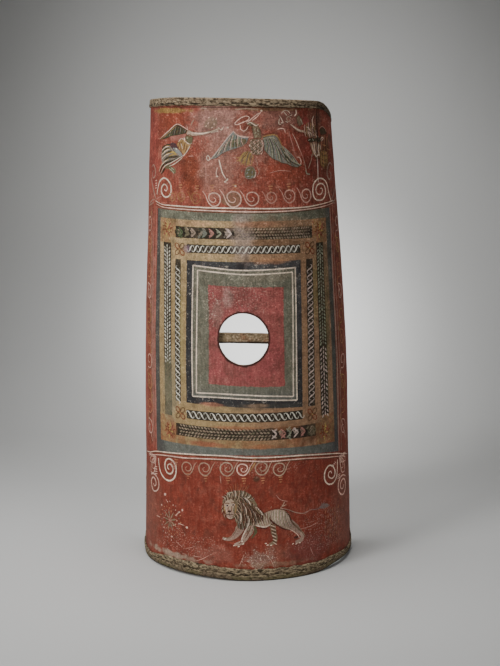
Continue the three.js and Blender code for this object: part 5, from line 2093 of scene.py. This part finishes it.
        film.line(Pigment.BROWN, 0.75, 7, 1.4, [(-41, 172), (-43, 162), (-40, 158)], [(-35, 172),
            (-35, 162), (-37, 158)])
        film.spot((-40, 160), (8, 5), Pigment.DARK, 0.95, 8)
        film.line(Pigment.DARK, 0.9, 8, 1.3, [(-40, 158), (-39, 152)])
        film.line(Pigment.DARK, 0.85, 8, 1.5, [(-47, 151), (-42, 154), (-39, 151), (-35, 154), (-30, 152)])
        film.line(Pigment.OCHRE, 0.75, 7, 1.9, [(-49, 172), (-51, 164), (-47, 154)], [(-26, 178),
            (-25, 166), (-28, 156)])
        film.line(Pigment.PINK_CREAM, 0.85, 7, 2.0, [(-44, 146), (-38, 144), (-33, 146)], [(-45, 164),
            (-47, 157)])


class Flowers(PaintedWork):
    """A star flower to the left of the lion and a faded one to its right."""
    name = "paint_flowers"

    def brush(self, film: Film) -> None:
        """Brushes both."""
        centre = (-198, 116)
        for index in range(64):
            angle = index * 137.5
            reach = 5 + 4.6 * math.sqrt(index)
            c, s = (math.cos(math.radians(angle)), math.sin(math.radians(angle)))
            place = (centre[0] + reach * c * 0.9, centre[1] + reach * s * 1.15)
            pigment = (Pigment.OLIVE, Pigment.PINK_CREAM, Pigment.GREY_GREEN, Pigment.ORANGE)[index % 4]
            film.spot(place, (4 + index * 5 % 5, 2.6), pigment, 0.55 + 0.1 * (index % 4), 1,
                angle + 20 * (index % 3))
        for index in range(9):
            angle = 15 + index * 40
            c, s = (math.cos(math.radians(angle)), math.sin(math.radians(angle)))
            film.spot((centre[0] + 13 * c, centre[1] + 14 * s), (15, 5), Pigment.GREEN, 0.75, 0, angle)
            film.line(Pigment.BEIGE, 0.7, 2, 1.5, [(centre[0] + 4 * c, centre[1] + 4 * s),
                (centre[0] + 24 * c, centre[1] + 26 * s)])
        film.spot(centre, (7, 7), Pigment.PINK, 0.8, 2)
        for s, z, size in ((-214, 173, 9), (-157, 148, 6), (-166, 142, 5), (-228, 145, 6), (-192, 79, 6),
                (-205, 158, 4)):
            film.spot((s, z), (size, size * 0.7), Pigment.PINK_CREAM, 0.85, 1, s * 7 % 90)
        film.spot((-145, 110), (6.5, 5), Pigment.CREAM, 1.0, 1)
        film.line(Pigment.PINK_CREAM, 0.7, 0, 1.8, [(-252, 114), (-236, 114)], [(-170, 115), (-152, 113)],
            [(-180, 130), (-166, 142)])
        self._faded(film)

    def _faded(self, film: Film) -> None:
        """The faded flower on the right."""
        film.patch(Pigment.BLUE_GREY, 0.55, 0, [(176, 150), (190, 156), (206, 153), (212, 147), (198, 145),
            (184, 146)])
        film.line(Pigment.BLUE_GREY, 0.5, 0, 1.8, [(150, 150), (168, 148), (182, 150)], [(182, 156),
            (196, 158)])
        for index in range(44):
            column, row = (index % 7, index // 7)
            place = (198 + column * 9 + 3 * wobble(index, 1.0, 2.0), 76 + row * 12 + 4 * wobble(index,
                3.0, 1.0))
            pigment = (Pigment.GREY_PINK, Pigment.OLIVE, Pigment.ORANGE)[index % 3]
            film.spot(place, (9, 2.2), pigment, 0.4 + 0.1 * (index % 3), 0, 75 + 25 * wobble(index,
                0.5, 4.0))


class Laurel(PaintedWork):
    """The garland of small leaves that fills the outer dark band."""
    name = "paint_laurel"
    runs = ((Side.TOP, -20.0, 160.0, 6.4, Pigment.BEIGE, 0.62), (Side.BOTTOM, -162.0, 56.0, 8.0,
        Pigment.BEIGE, 0.68), (Side.LEFT, 480.0, 748.0, 8.2, Pigment.WHITE, 1.0), (Side.LEFT, 366.0, 480.0,
        9.4, Pigment.OLIVE, 0.55), (Side.RIGHT, 356.0, 520.0, 10.0, Pigment.PINK_WHITE, 0.95), (Side.RIGHT,
        520.0, 744.0, 8.0, Pigment.PALE_GREEN, 0.85))
    sprays = ((Side.TOP, -162.0, -138.0, Pigment.GREEN, 0.75), (Side.TOP, -137.0, -122.0,
        Pigment.OLIVE, 0.8), (Side.TOP, -121.0, -105.0, Pigment.GREY_PINK, 0.75), (Side.TOP, -103.0, -78.0,
        Pigment.GREY_GREEN, 0.75), (Side.TOP, -76.0, -62.0, Pigment.PINK, 0.75), (Side.TOP, -60.0, -46.0,
        Pigment.PALE_GREEN, 0.75), (Side.TOP, -44.0, -24.0, Pigment.PINK_WHITE, 0.7), (Side.TOP, -22.0,
        -6.0, Pigment.GREY_PINK, 0.6), (Side.BOTTOM, 58.0, 67.0, Pigment.PINK_WHITE, 0.7), (Side.BOTTOM,
        68.0, 88.0, Pigment.PINK, 0.65), (Side.BOTTOM, 90.0, 101.0, Pigment.PALE_GREEN, 0.5), (Side.BOTTOM,
        103.0, 119.0, Pigment.PINK_WHITE, 0.75), (Side.BOTTOM, 121.0, 137.0, Pigment.PINK, 0.55),
        (Side.BOTTOM, 139.0, 168.0, Pigment.OLIVE, 0.6))

    def brush(self, film: Film) -> None:
        """Brushes the even leaves and the larger coloured sprays."""
        for side, start, end, pitch, pigment, strength in self.runs:
            self._even(film, side, start, end, pitch, pigment, strength)
        for side, start, end, pigment, strength in self.sprays:
            self._spray(film, side, start, end, pigment, strength)

    def _even(self, film: Film, side: Side, start: float, end: float, pitch: float, pigment: Pigment,
            strength: float) -> None:
        """Rows of small leaves that lean out from the middle, each row half a step on."""
        upright = 0.0 if side in (Side.TOP, Side.BOTTOM) else 90.0
        rows = ((0.2, 0.0, 38.0), (0.5, 0.5, 0.0), (0.8, 0.0, -38.0))
        if not upright:
            rows = ((0.12, 0.0, 38.0), (0.37, 0.4, 26.0), (0.63, 0.0, -26.0), (0.88, 0.4, -38.0))
        for index in range(int((end - start) / pitch)):
            for share, shift, turn in rows:
                along = start + (index + shift + 0.25) * pitch
                uneven = wobble(along * 0.09, share * 7, 5.0)
                centre = between(PANEL.laurel, PANEL.middle_ochre, side, along + 1.2 * uneven, share)
                seen = strength * (0.85 + 0.5 * wobble(along * 0.07, share * 5, 2.0) + 0.25 * uneven)
                size = (pitch * (0.95 + 0.3 * uneven), 3.7 + uneven)
                film.spot(centre, size, pigment, min(max(seen, 0.1), 1.0), 1,
                    upright + turn + 14 * uneven, 6)
                if (index + round(share * 10)) % 4 == 0:
                    film.spot(centre, (1.2 * pitch, 5.0), Pigment.GREEN, 0.6, 0, upright - turn, 6)

    def _spray(self, film: Film, side: Side, start: float, end: float, pigment: Pigment,
            strength: float) -> None:
        """Ragged fans of leaves across the band, mostly of one colour."""
        middle = (start + end) / 2
        for index in range(round((end - start) * 0.8)):
            along = mix(start, end, 0.5 + 0.55 * wobble(index * 2.3, middle, 1.0))
            share = min(max(0.5 + 0.62 * wobble(index * 1.7, middle, 6.0), 0.06), 0.94)
            centre = between(PANEL.laurel, PANEL.middle_ochre, side, along, share)
            lean = 40 if share > 0.5 else -40
            tint = (pigment, pigment, Pigment.DARK_GREEN, pigment, Pigment.BEIGE)[index % 5]
            film.spot(centre, (10, 4.2), tint, strength, 1, lean + 20 * wobble(index, 3.0, 2.0))
        for share in (0.1, 0.9):
            tip = between(PANEL.laurel, PANEL.middle_ochre, side, end, 0.5)
            root = between(PANEL.laurel, PANEL.middle_ochre, side, end - 12, share)
            film.line(pigment, min(1.0, strength + 0.2), 2, (1.5, 4.0, 2.0), [root, mixed(root, tip, 0.6),
                tip])
        film.spot(between(PANEL.laurel, PANEL.middle_ochre, side, start + 2, 0.5), (5, 10), Pigment.BLACK,
            0.8, 2, 20)


def mixed(a: Flat, b: Flat, share: float) -> Flat:
    """The place a share of the way from a to b."""
    return (mix(a[0], b[0], share), mix(a[1], b[1], share))


class Guilloche(PaintedWork):
    """The twisted chain that fills the inner dark band."""
    name = "paint_guilloche"

    def brush(self, film: Film) -> None:
        """Brushes the four sides."""
        self._twist(film, Side.TOP, -126, 133, 12.6, Pigment.WHITE, 1.0)
        self._twist(film, Side.LEFT, 394, 708, 12.6, Pigment.WHITE, 1.0)
        self._twist(film, Side.RIGHT, 390, 708, 13.4, Pigment.PINK_WHITE, 0.95)
        self._twist(film, Side.BOTTOM, -138, 132, 15.0, Pigment.WHITE, 1.0)

    def _twist(self, film: Film, side: Side, start: float, end: float, pitch: float, pigment: Pigment,
            strength: float) -> None:
        """Slanting S strokes, one after another."""
        for index in range(int((end - start) / pitch)):
            along = start + (index + 0.5) * pitch
            shares = ((-0.66, 0.4), (-0.64, 0.2), (-0.42, 0.12), (-0.14, 0.3), (0.14, 0.7), (0.42, 0.88),
                (0.64, 0.8), (0.66, 0.6))
            points = [between(PANEL.guilloche, PANEL.inner_ochre, side, along - dx * pitch, share) for dx,
                share in shares]
            seen = strength * (0.92 + 0.25 * wobble(along * 0.05, 3.0, 1.0))
            width = 2.8 * (1 + 0.2 * wobble(along * 0.3, 1.0, 1.0))
            film.line(pigment, min(seen, 1.0), 1, (width * 0.4, width * 0.7, width * 1.45, width * 0.7,
                width * 0.4), points, ends=(0.5, 0.5), spacing=2.5)
            for across in (0.2, 0.8):
                eye = between(PANEL.guilloche, PANEL.inner_ochre, side, along + (across - 0.5) * pitch,
                    across)
                film.spot(eye, (3.4, 2.0), Pigment.GREY_GREEN, 0.7, 0, 40 + 30 * wobble(along, across, 1.0))


class CornerKnots(PaintedWork):
    """Quatrefoil knots in the inner corners and lattices in the outer ones."""
    name = "paint_corner_knots"

    def brush(self, film: Film) -> None:
        """Brushes the eight corners."""
        for centre in ((-149, 735), (158, 737), (-158, 371), (158, 368)):
            self._knot(film, centre)
        for centre in ((-187, 777), (191, 775), (-192, 327), (197, 323)):
            self._lattice(film, centre)

    def _knot(self, film: Film, centre: Flat) -> None:
        """Four looped petals round a crossing."""
        for index in range(4):
            angle = math.radians(45 + 90 * index)
            reach = Vector((math.cos(angle), math.sin(angle)))
            side = Vector((-reach.y, reach.x))
            middle = Vector(centre)
            loop = [middle + reach * 2, middle + reach * 11 + side * 5, middle + reach * 17,
                middle + reach * 11 - side * 5]
            film.line(Pigment.RED if index % 2 else Pigment.BROWN, 0.9, 1, 2.3, [tuple(p) for p in loop],
                spacing=3, closed=True)
        for across in (0, 90):
            c, s = (math.cos(math.radians(across)), math.sin(math.radians(across)))
            line = [(centre[0] - 11 * c, centre[1] - 11 * s), (centre[0] + 11 * c, centre[1] + 11 * s)]
            film.line(Pigment.BROWN, 0.8, 0, 2.2, line)
        film.spot(centre, (6, 6), Pigment.OCHRE, 0.8, 1)

    def _lattice(self, film: Film, centre: Flat) -> None:
        """A loose rosette of curled petals."""
        for ring, (reach, count) in enumerate(((15.0, 10), (9.0, 7), (3.0, 3))):
            for index in range(count):
                angle = math.radians(360 * index / count + 17 * ring)
                middle = Vector(centre) + Vector((math.cos(angle), math.sin(angle))) * reach
                outward = Vector((math.cos(angle + 0.7), math.sin(angle + 0.7))) * 5
                across = Vector((-outward.y, outward.x)) * 0.7
                pigment = (Pigment.RED, Pigment.CRIMSON, Pigment.YELLOW, Pigment.RED,
                    Pigment.BROWN)[(index + ring) % 5]
                curl = [tuple(middle - outward), tuple(middle + across), tuple(middle + outward)]
                film.line(pigment, 0.85, 1, (1.5, 3.4, 1.5), curl)


class SideVines(PaintedWork):
    """Running vines up the strips outside the panel, and plain lines near the side edges."""
    name = "paint_side_vines"

    def brush(self, film: Film) -> None:
        """Brushes both sides."""
        for side in (-1, 1):
            for index in range(10):
                centre = (side * 283, 316 + index * 52)
                turn = 1 if index % 2 else -1
                coil = [(side * 283 - turn * 16, centre[1] - 30)]
                coil += spiral(centre, (19, 16, 11, 4), -120 * turn, 430 * turn)
                film.line((Pigment.PINK_CREAM, Pigment.ORANGE, Pigment.OCHRE)[index % 3], 0.7, 1, 2.4, coil,
                    spacing=4)
                film.line(Pigment.BROWN, 0.6, 0, 2.0, [(s + 2.6, z - 2) for s, z in coil], spacing=5)
                leaf = (side * 283 + turn * 15, centre[1] + 22)
                film.spot(leaf, (13, 6), Pigment.OCHRE, 0.5, 0, 60 * turn)
            film.line(Pigment.PINK, 0.6, 0, 3.0, [(side * 316, 254), (side * 314, 540), (side * 306, 838)],
                spacing=9)
            film.line(Pigment.OCHRE, 0.5, 0, 4.0, [(side * 385, 60), (side * 385, 540), (side * 385, 1000)],
                spacing=9)


class ScarsAndRimShadow(PaintedWork):
    """The drip, the dark line below the split, a painted shadow under the top binding and other long marks.
    """
    name = "paint_scars_and_rim_shadow"

    def brush(self, film: Film) -> None:
        """Brushes each mark."""
        film.line(Pigment.PINK_WHITE, 0.95, 0, 3.0, [(190.6, 937), (190.8, 905), (190.5, 877)])
        film.line(Pigment.DARK, 0.9, 0, 2.0, [(187, 966), (187, 936), (187, 906)])
        film.line(Pigment.CREAM, 0.6, 0, 1.8, [(184, 980), (183, 958), (185, 940)], [(191, 985), (192, 962),
            (190, 944)])
        film.line(Pigment.OCHRE, 0.6, 0, 2.0, [(193, 1036), (193, 1010), (192, 986)])
        film.line(Pigment.DARK, 0.55, 0, 6.0, [(201, 1036), (203, 1020), (202, 1004)])
        film.line(Pigment.BLACK, 1.0, 6, (2.5, 3.4, 3.4, 3.0, 2.4), [(193, 1036), (192.5, 1005), (192, 975),
            (190.5, 938)])
        # Painted shadow: a dark line on the face just under the top binding's lip.
        film.line(Pigment.DARK, 0.7, 0, 1.8, [(-250, 1038), (-170, 1038.5), (-60, 1037), (60, 1036.5),
            (180, 1036)])
        film.line(Pigment.BEIGE, 0.7, 0, 2.6, [(-84, 1033), (-80, 1036), (-70, 1034)], [(-10, 1032),
            (10, 1034), (40, 1033)])
        film.line(Pigment.PINK_CREAM, 0.55, 0, 1.1, [(-122, 36), (-104, 44), (-88, 54)], [(-126, 46),
            (-110, 47)], [(-8, 62), (-14, 46), (-20, 34)], [(40, 60), (52, 46), (58, 32)], [(120, 110),
            (150, 112), (172, 117)], [(-150, 60), (-130, 66)], [(64, 196), (74, 184), (92, 178)],
            [(-178, 70), (-160, 62)], [(150, 62), (158, 44)], [(-60, 240), (-58, 222)], [(-120, 1000),
            (-116, 985), (-118, 970)], [(-30, 1010), (-10, 1016)], [(60, 900), (84, 905), (110, 903)])


# ---------------------------------------------------------------- studio


@dataclass
class Studio:
    """Camera, soft lights and a pale floor that curves up into a backdrop."""
    curve: ShieldCurve
    distance: float = 2.7
    camera_x: float = 0.0045
    camera_height: float = 1.0
    pitch: float = 9.284
    lens: float = 68.717
    sensor: float = 36.0
    floor_back: float = 1.15
    cove: float = 0.75
    width: float = 9.0
    wall: float = 3.2

    def camera(self) -> None:
        """Places the camera."""
        data = bpy.data.cameras.new("camera")
        data.lens = self.lens
        data.sensor_width = self.sensor
        data.sensor_fit = "AUTO"
        camera = bpy.data.objects.new("camera", data)
        camera.location = (self.camera_x, self.curve.nose - self.distance, self.camera_height)
        camera.rotation_euler = (math.radians(90 - self.pitch), 0.0, 0.0)
        bpy.context.scene.collection.objects.link(camera)
        bpy.context.scene.camera = camera

    def _backdrop_point(self, t: float) -> tuple[float, float]:
        """The depth and height of the backdrop, from t = 0 at the front to 1 at its top."""
        if t < 0.5:
            return (mix(-4.5, self.floor_back, t * 2), 0.0)
        if t < 0.8:
            angle = (t - 0.5) / 0.3 * math.pi / 2
            return (self.floor_back + self.cove * math.sin(angle), self.cove * (1 - math.cos(angle)))
        return (self.floor_back + self.cove, mix(self.cove, self.wall, (t - 0.8) / 0.2))

    def backdrop(self) -> bpy.types.Object:
        """Makes the floor and backdrop as one sheet."""
        columns, rows = (12, 60)
        sheet = flat_grid("studio_floor", columns, rows)
        for vertex in sheet.data.vertices:
            y, z = self._backdrop_point(vertex.co.y / rows)
            vertex.co = (mix(-self.width / 2, self.width / 2, vertex.co.x / columns), y, z)
        material, graph = new_material("studio_paper")
        place = graph.node("ShaderNodeTexCoord", {}).outputs["Object"]
        tone = graph.clouds(place, 1.5, 2.0)
        colour = graph.tint("c6c6c4", "cbcbc9", tone)
        graph.surface(colour, 0.85, graph.bump(graph.clouds(place, 400.0, 2.0), 0.0002, 0.2), 0.2)
        self._see_through_from_behind(graph)
        sheet.data.materials.clear()
        sheet.data.materials.append(material)
        smooth_shaded(sheet, 60)
        return sheet

    def _see_through_from_behind(self, graph: Graph) -> None:
        """Clears the paper's back, so that it hides nothing from a viewer behind it."""
        output = graph.tree.get_output_node("ALL")
        front = output.inputs[0].links[0].from_socket
        behind = graph.node("ShaderNodeNewGeometry", {}).outputs["Backfacing"]
        clear = graph.node("ShaderNodeBsdfTransparent", {}).outputs[0]
        both = graph.node("ShaderNodeMixShader", {0: behind, 1: front, 2: clear})
        graph.tree.links.new(both.outputs[0], output.inputs[0])

    def _light(self, kind: str, name: str, place: Sequence[float], aim: Sequence[float],
            power: float) -> bpy.types.Light:
        """Adds a light of one kind, with a power in watts, and gives back its settings."""
        data = bpy.data.lights.new(name, kind)
        data.energy = power
        light = bpy.data.objects.new(name, data)
        light.location = place
        light.rotation_euler = (Vector(aim) - Vector(place)).to_track_quat("-Z", "Y").to_euler()
        bpy.context.scene.collection.objects.link(light)
        return data

    def _area(self, name: str, place: Sequence[float], aim: Sequence[float], size: float, power: float,
            spread: float) -> None:
        """Adds one soft square light.

        Args:
            name: its name.
            place: where it stands.
            aim: what it points at.
            size: the length of its side.
            power: its power in watts.
            spread: how widely it throws its light, in degrees.
        """
        data = self._light("AREA", name, place, aim, power)
        data.size = size
        data.spread = math.radians(spread)

    def _glow(self, name: str, place: Sequence[float], aim: Sequence[float], angle: float,
            power: float) -> None:
        """Adds one soft pool of light on the backdrop, from behind the shield."""
        data = self._light("SPOT", name, place, aim, power)
        data.spot_size = math.radians(angle)
        data.spot_blend = 1.0
        data.shadow_soft_size = 0.25

    def lights(self) -> None:
        """Adds the lights and a dim even sky."""
        self._area("key", (-2.4, -2.3, 2.0), (0, 0, 0.6), 1.1, 6.4, 48)
        self._area("fill", (2.5, -2.6, 1.3), (0, 0, 0.5), 1.8, 3.2, 70)
        self._area("overhead", (-0.35, -0.35, 3.0), (-0.35, -0.15, 0.0), 1.6, 17.5, 80)
        self._glow("glow_narrow", (0.06, 0.35, 0.55), (0.06, 1.7, 0.24), 46, 180)
        self._glow("glow_mid", (0.1, 0.35, 0.7), (0.1, 1.8, 0.35), 110, 42)
        self._glow("glow_high", (0.02, 0.35, 1.0), (0.02, 1.9, 1.3), 70, 25)
        world = bpy.data.worlds.new("studio_air")
        world.use_nodes = True
        background = world.node_tree.nodes["Background"]
        background.inputs["Color"].default_value = (0.82, 0.83, 0.85, 1.0)
        background.inputs["Strength"].default_value = 0.05
        bpy.context.scene.world = world


# ---------------------------------------------------------------- the whole


def finish_piece(piece: bpy.types.Object, stands_for: str | None = None) -> None:
    """Hooks a finished piece up to the frame and reports it.

    Args:
        piece: the piece.
        stands_for: the CAD node that it replaces.
    """
    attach(piece, BODY)
    if stands_for:
        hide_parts(stands_for)
    triangles = sum(len(polygon.vertices) - 2 for polygon in piece.data.polygons)
    LOG.info("%s: %d triangles", piece.name, triangles)


def bindings(curve: ShieldCurve) -> list[tuple[RawhideBinding, str]]:
    """The four bindings, each with the CAD node that it stands for."""
    half = curve.girth / 2
    top_hide = RawhideFinish("rawhide_top", hollow=0.0125, crest=0.004, corner_shade=0.6).material()
    foot_hide = RawhideFinish("rawhide_foot", hollow=0.0175, crest=0.0145, foot_shade=0.9, pale="c0ac88",
        mid="80705a", dark="362c20", green="6e6844").material()
    side_hide = RawhideFinish("rawhide_side", hollow=0.0125, crest=0.004).material()
    side_run = {"start": 0.0313, "end": 1.0417, "front_lip": 0.016, "back_lip": 0.014, "lap_rise": 0.5 * MM}
    full_run = {"start": -half, "end": half}
    foot_left = (1.0, 0.6, 0.5, 0.9, 0.95, 0.9, 0.85, 0.85, 0.84, 0.72, 0.45, 0.6, 1.0)
    return [(RawhideBinding(curve, Side.TOP, top_hide, 0.017, 0.014, lap_rise=0.7 * MM, seed=1.0,
        **full_run), "rim_binding_top"), (RawhideBinding(curve, Side.BOTTOM, foot_hide, 0.031, 0.022,
        lap_rise=1.6 * MM, rope_rise=1.3 * MM, slits=True, ragged=2.4 * MM, seed=2.0, lip_left=foot_left,
        **full_run), "rim_binding_bottom"), (RawhideBinding(curve, Side.LEFT, side_hide, seed=3.0,
        **side_run), "rim_binding_left"), (RawhideBinding(curve, Side.RIGHT, side_hide, seed=4.0,
        **side_run), "rim_binding_right")]


def main() -> None:
    """Builds the studio and every piece of the shield, in order."""
    logging.basicConfig(level=logging.INFO, format="%(message)s")
    curve = ShieldCurve(nose=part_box("shield_board")[0].y)
    studio = Studio(curve)
    studio.camera()
    smudge, wear, grain = (smudge_group(), wear_group(), grain_group())
    ground = PaintedGround(smudge, edge_group(), wear).build()
    face = PaintedHideFinish(ground).material()
    film = PaintFilmFinish(ground, wear).material()
    edge_wood = WoodFinish("board_edge", grain, "9a7a55", "5a412a", "3c2d1f", 500.0).material()
    back_wood = WoodFinish("board_back", grain, "9c7f58", "5f4730", "74452c",
        260.0, 0.0655).material()
    grip_wood = WoodFinish("grip_wood", grain, "b09a78", "6a5840", "a46a4c", 300.0, foxing=0.6,
        grit_and_lower_shade=(0.5392, 0.5358)).material()
    finish_piece(ShieldBoard(curve, face, edge_wood, back_wood).build(), "shield_board")
    for binding, node in bindings(curve):
        finish_piece(binding.build(), node)
    finish_piece(Grip(curve, grip_wood).build(), "grip")
    works = (RuledLines, Volutes, WaveScrolls, Eagle, LeftFigure, RightFigure, Lion, Flowers, Laurel,
        Guilloche, CornerKnots, SideVines, ScarsAndRimShadow)
    for work in works:
        finish_piece(work(curve, film).build())
    studio.backdrop()
    studio.lights()


if __name__ == "__main__":
    main()
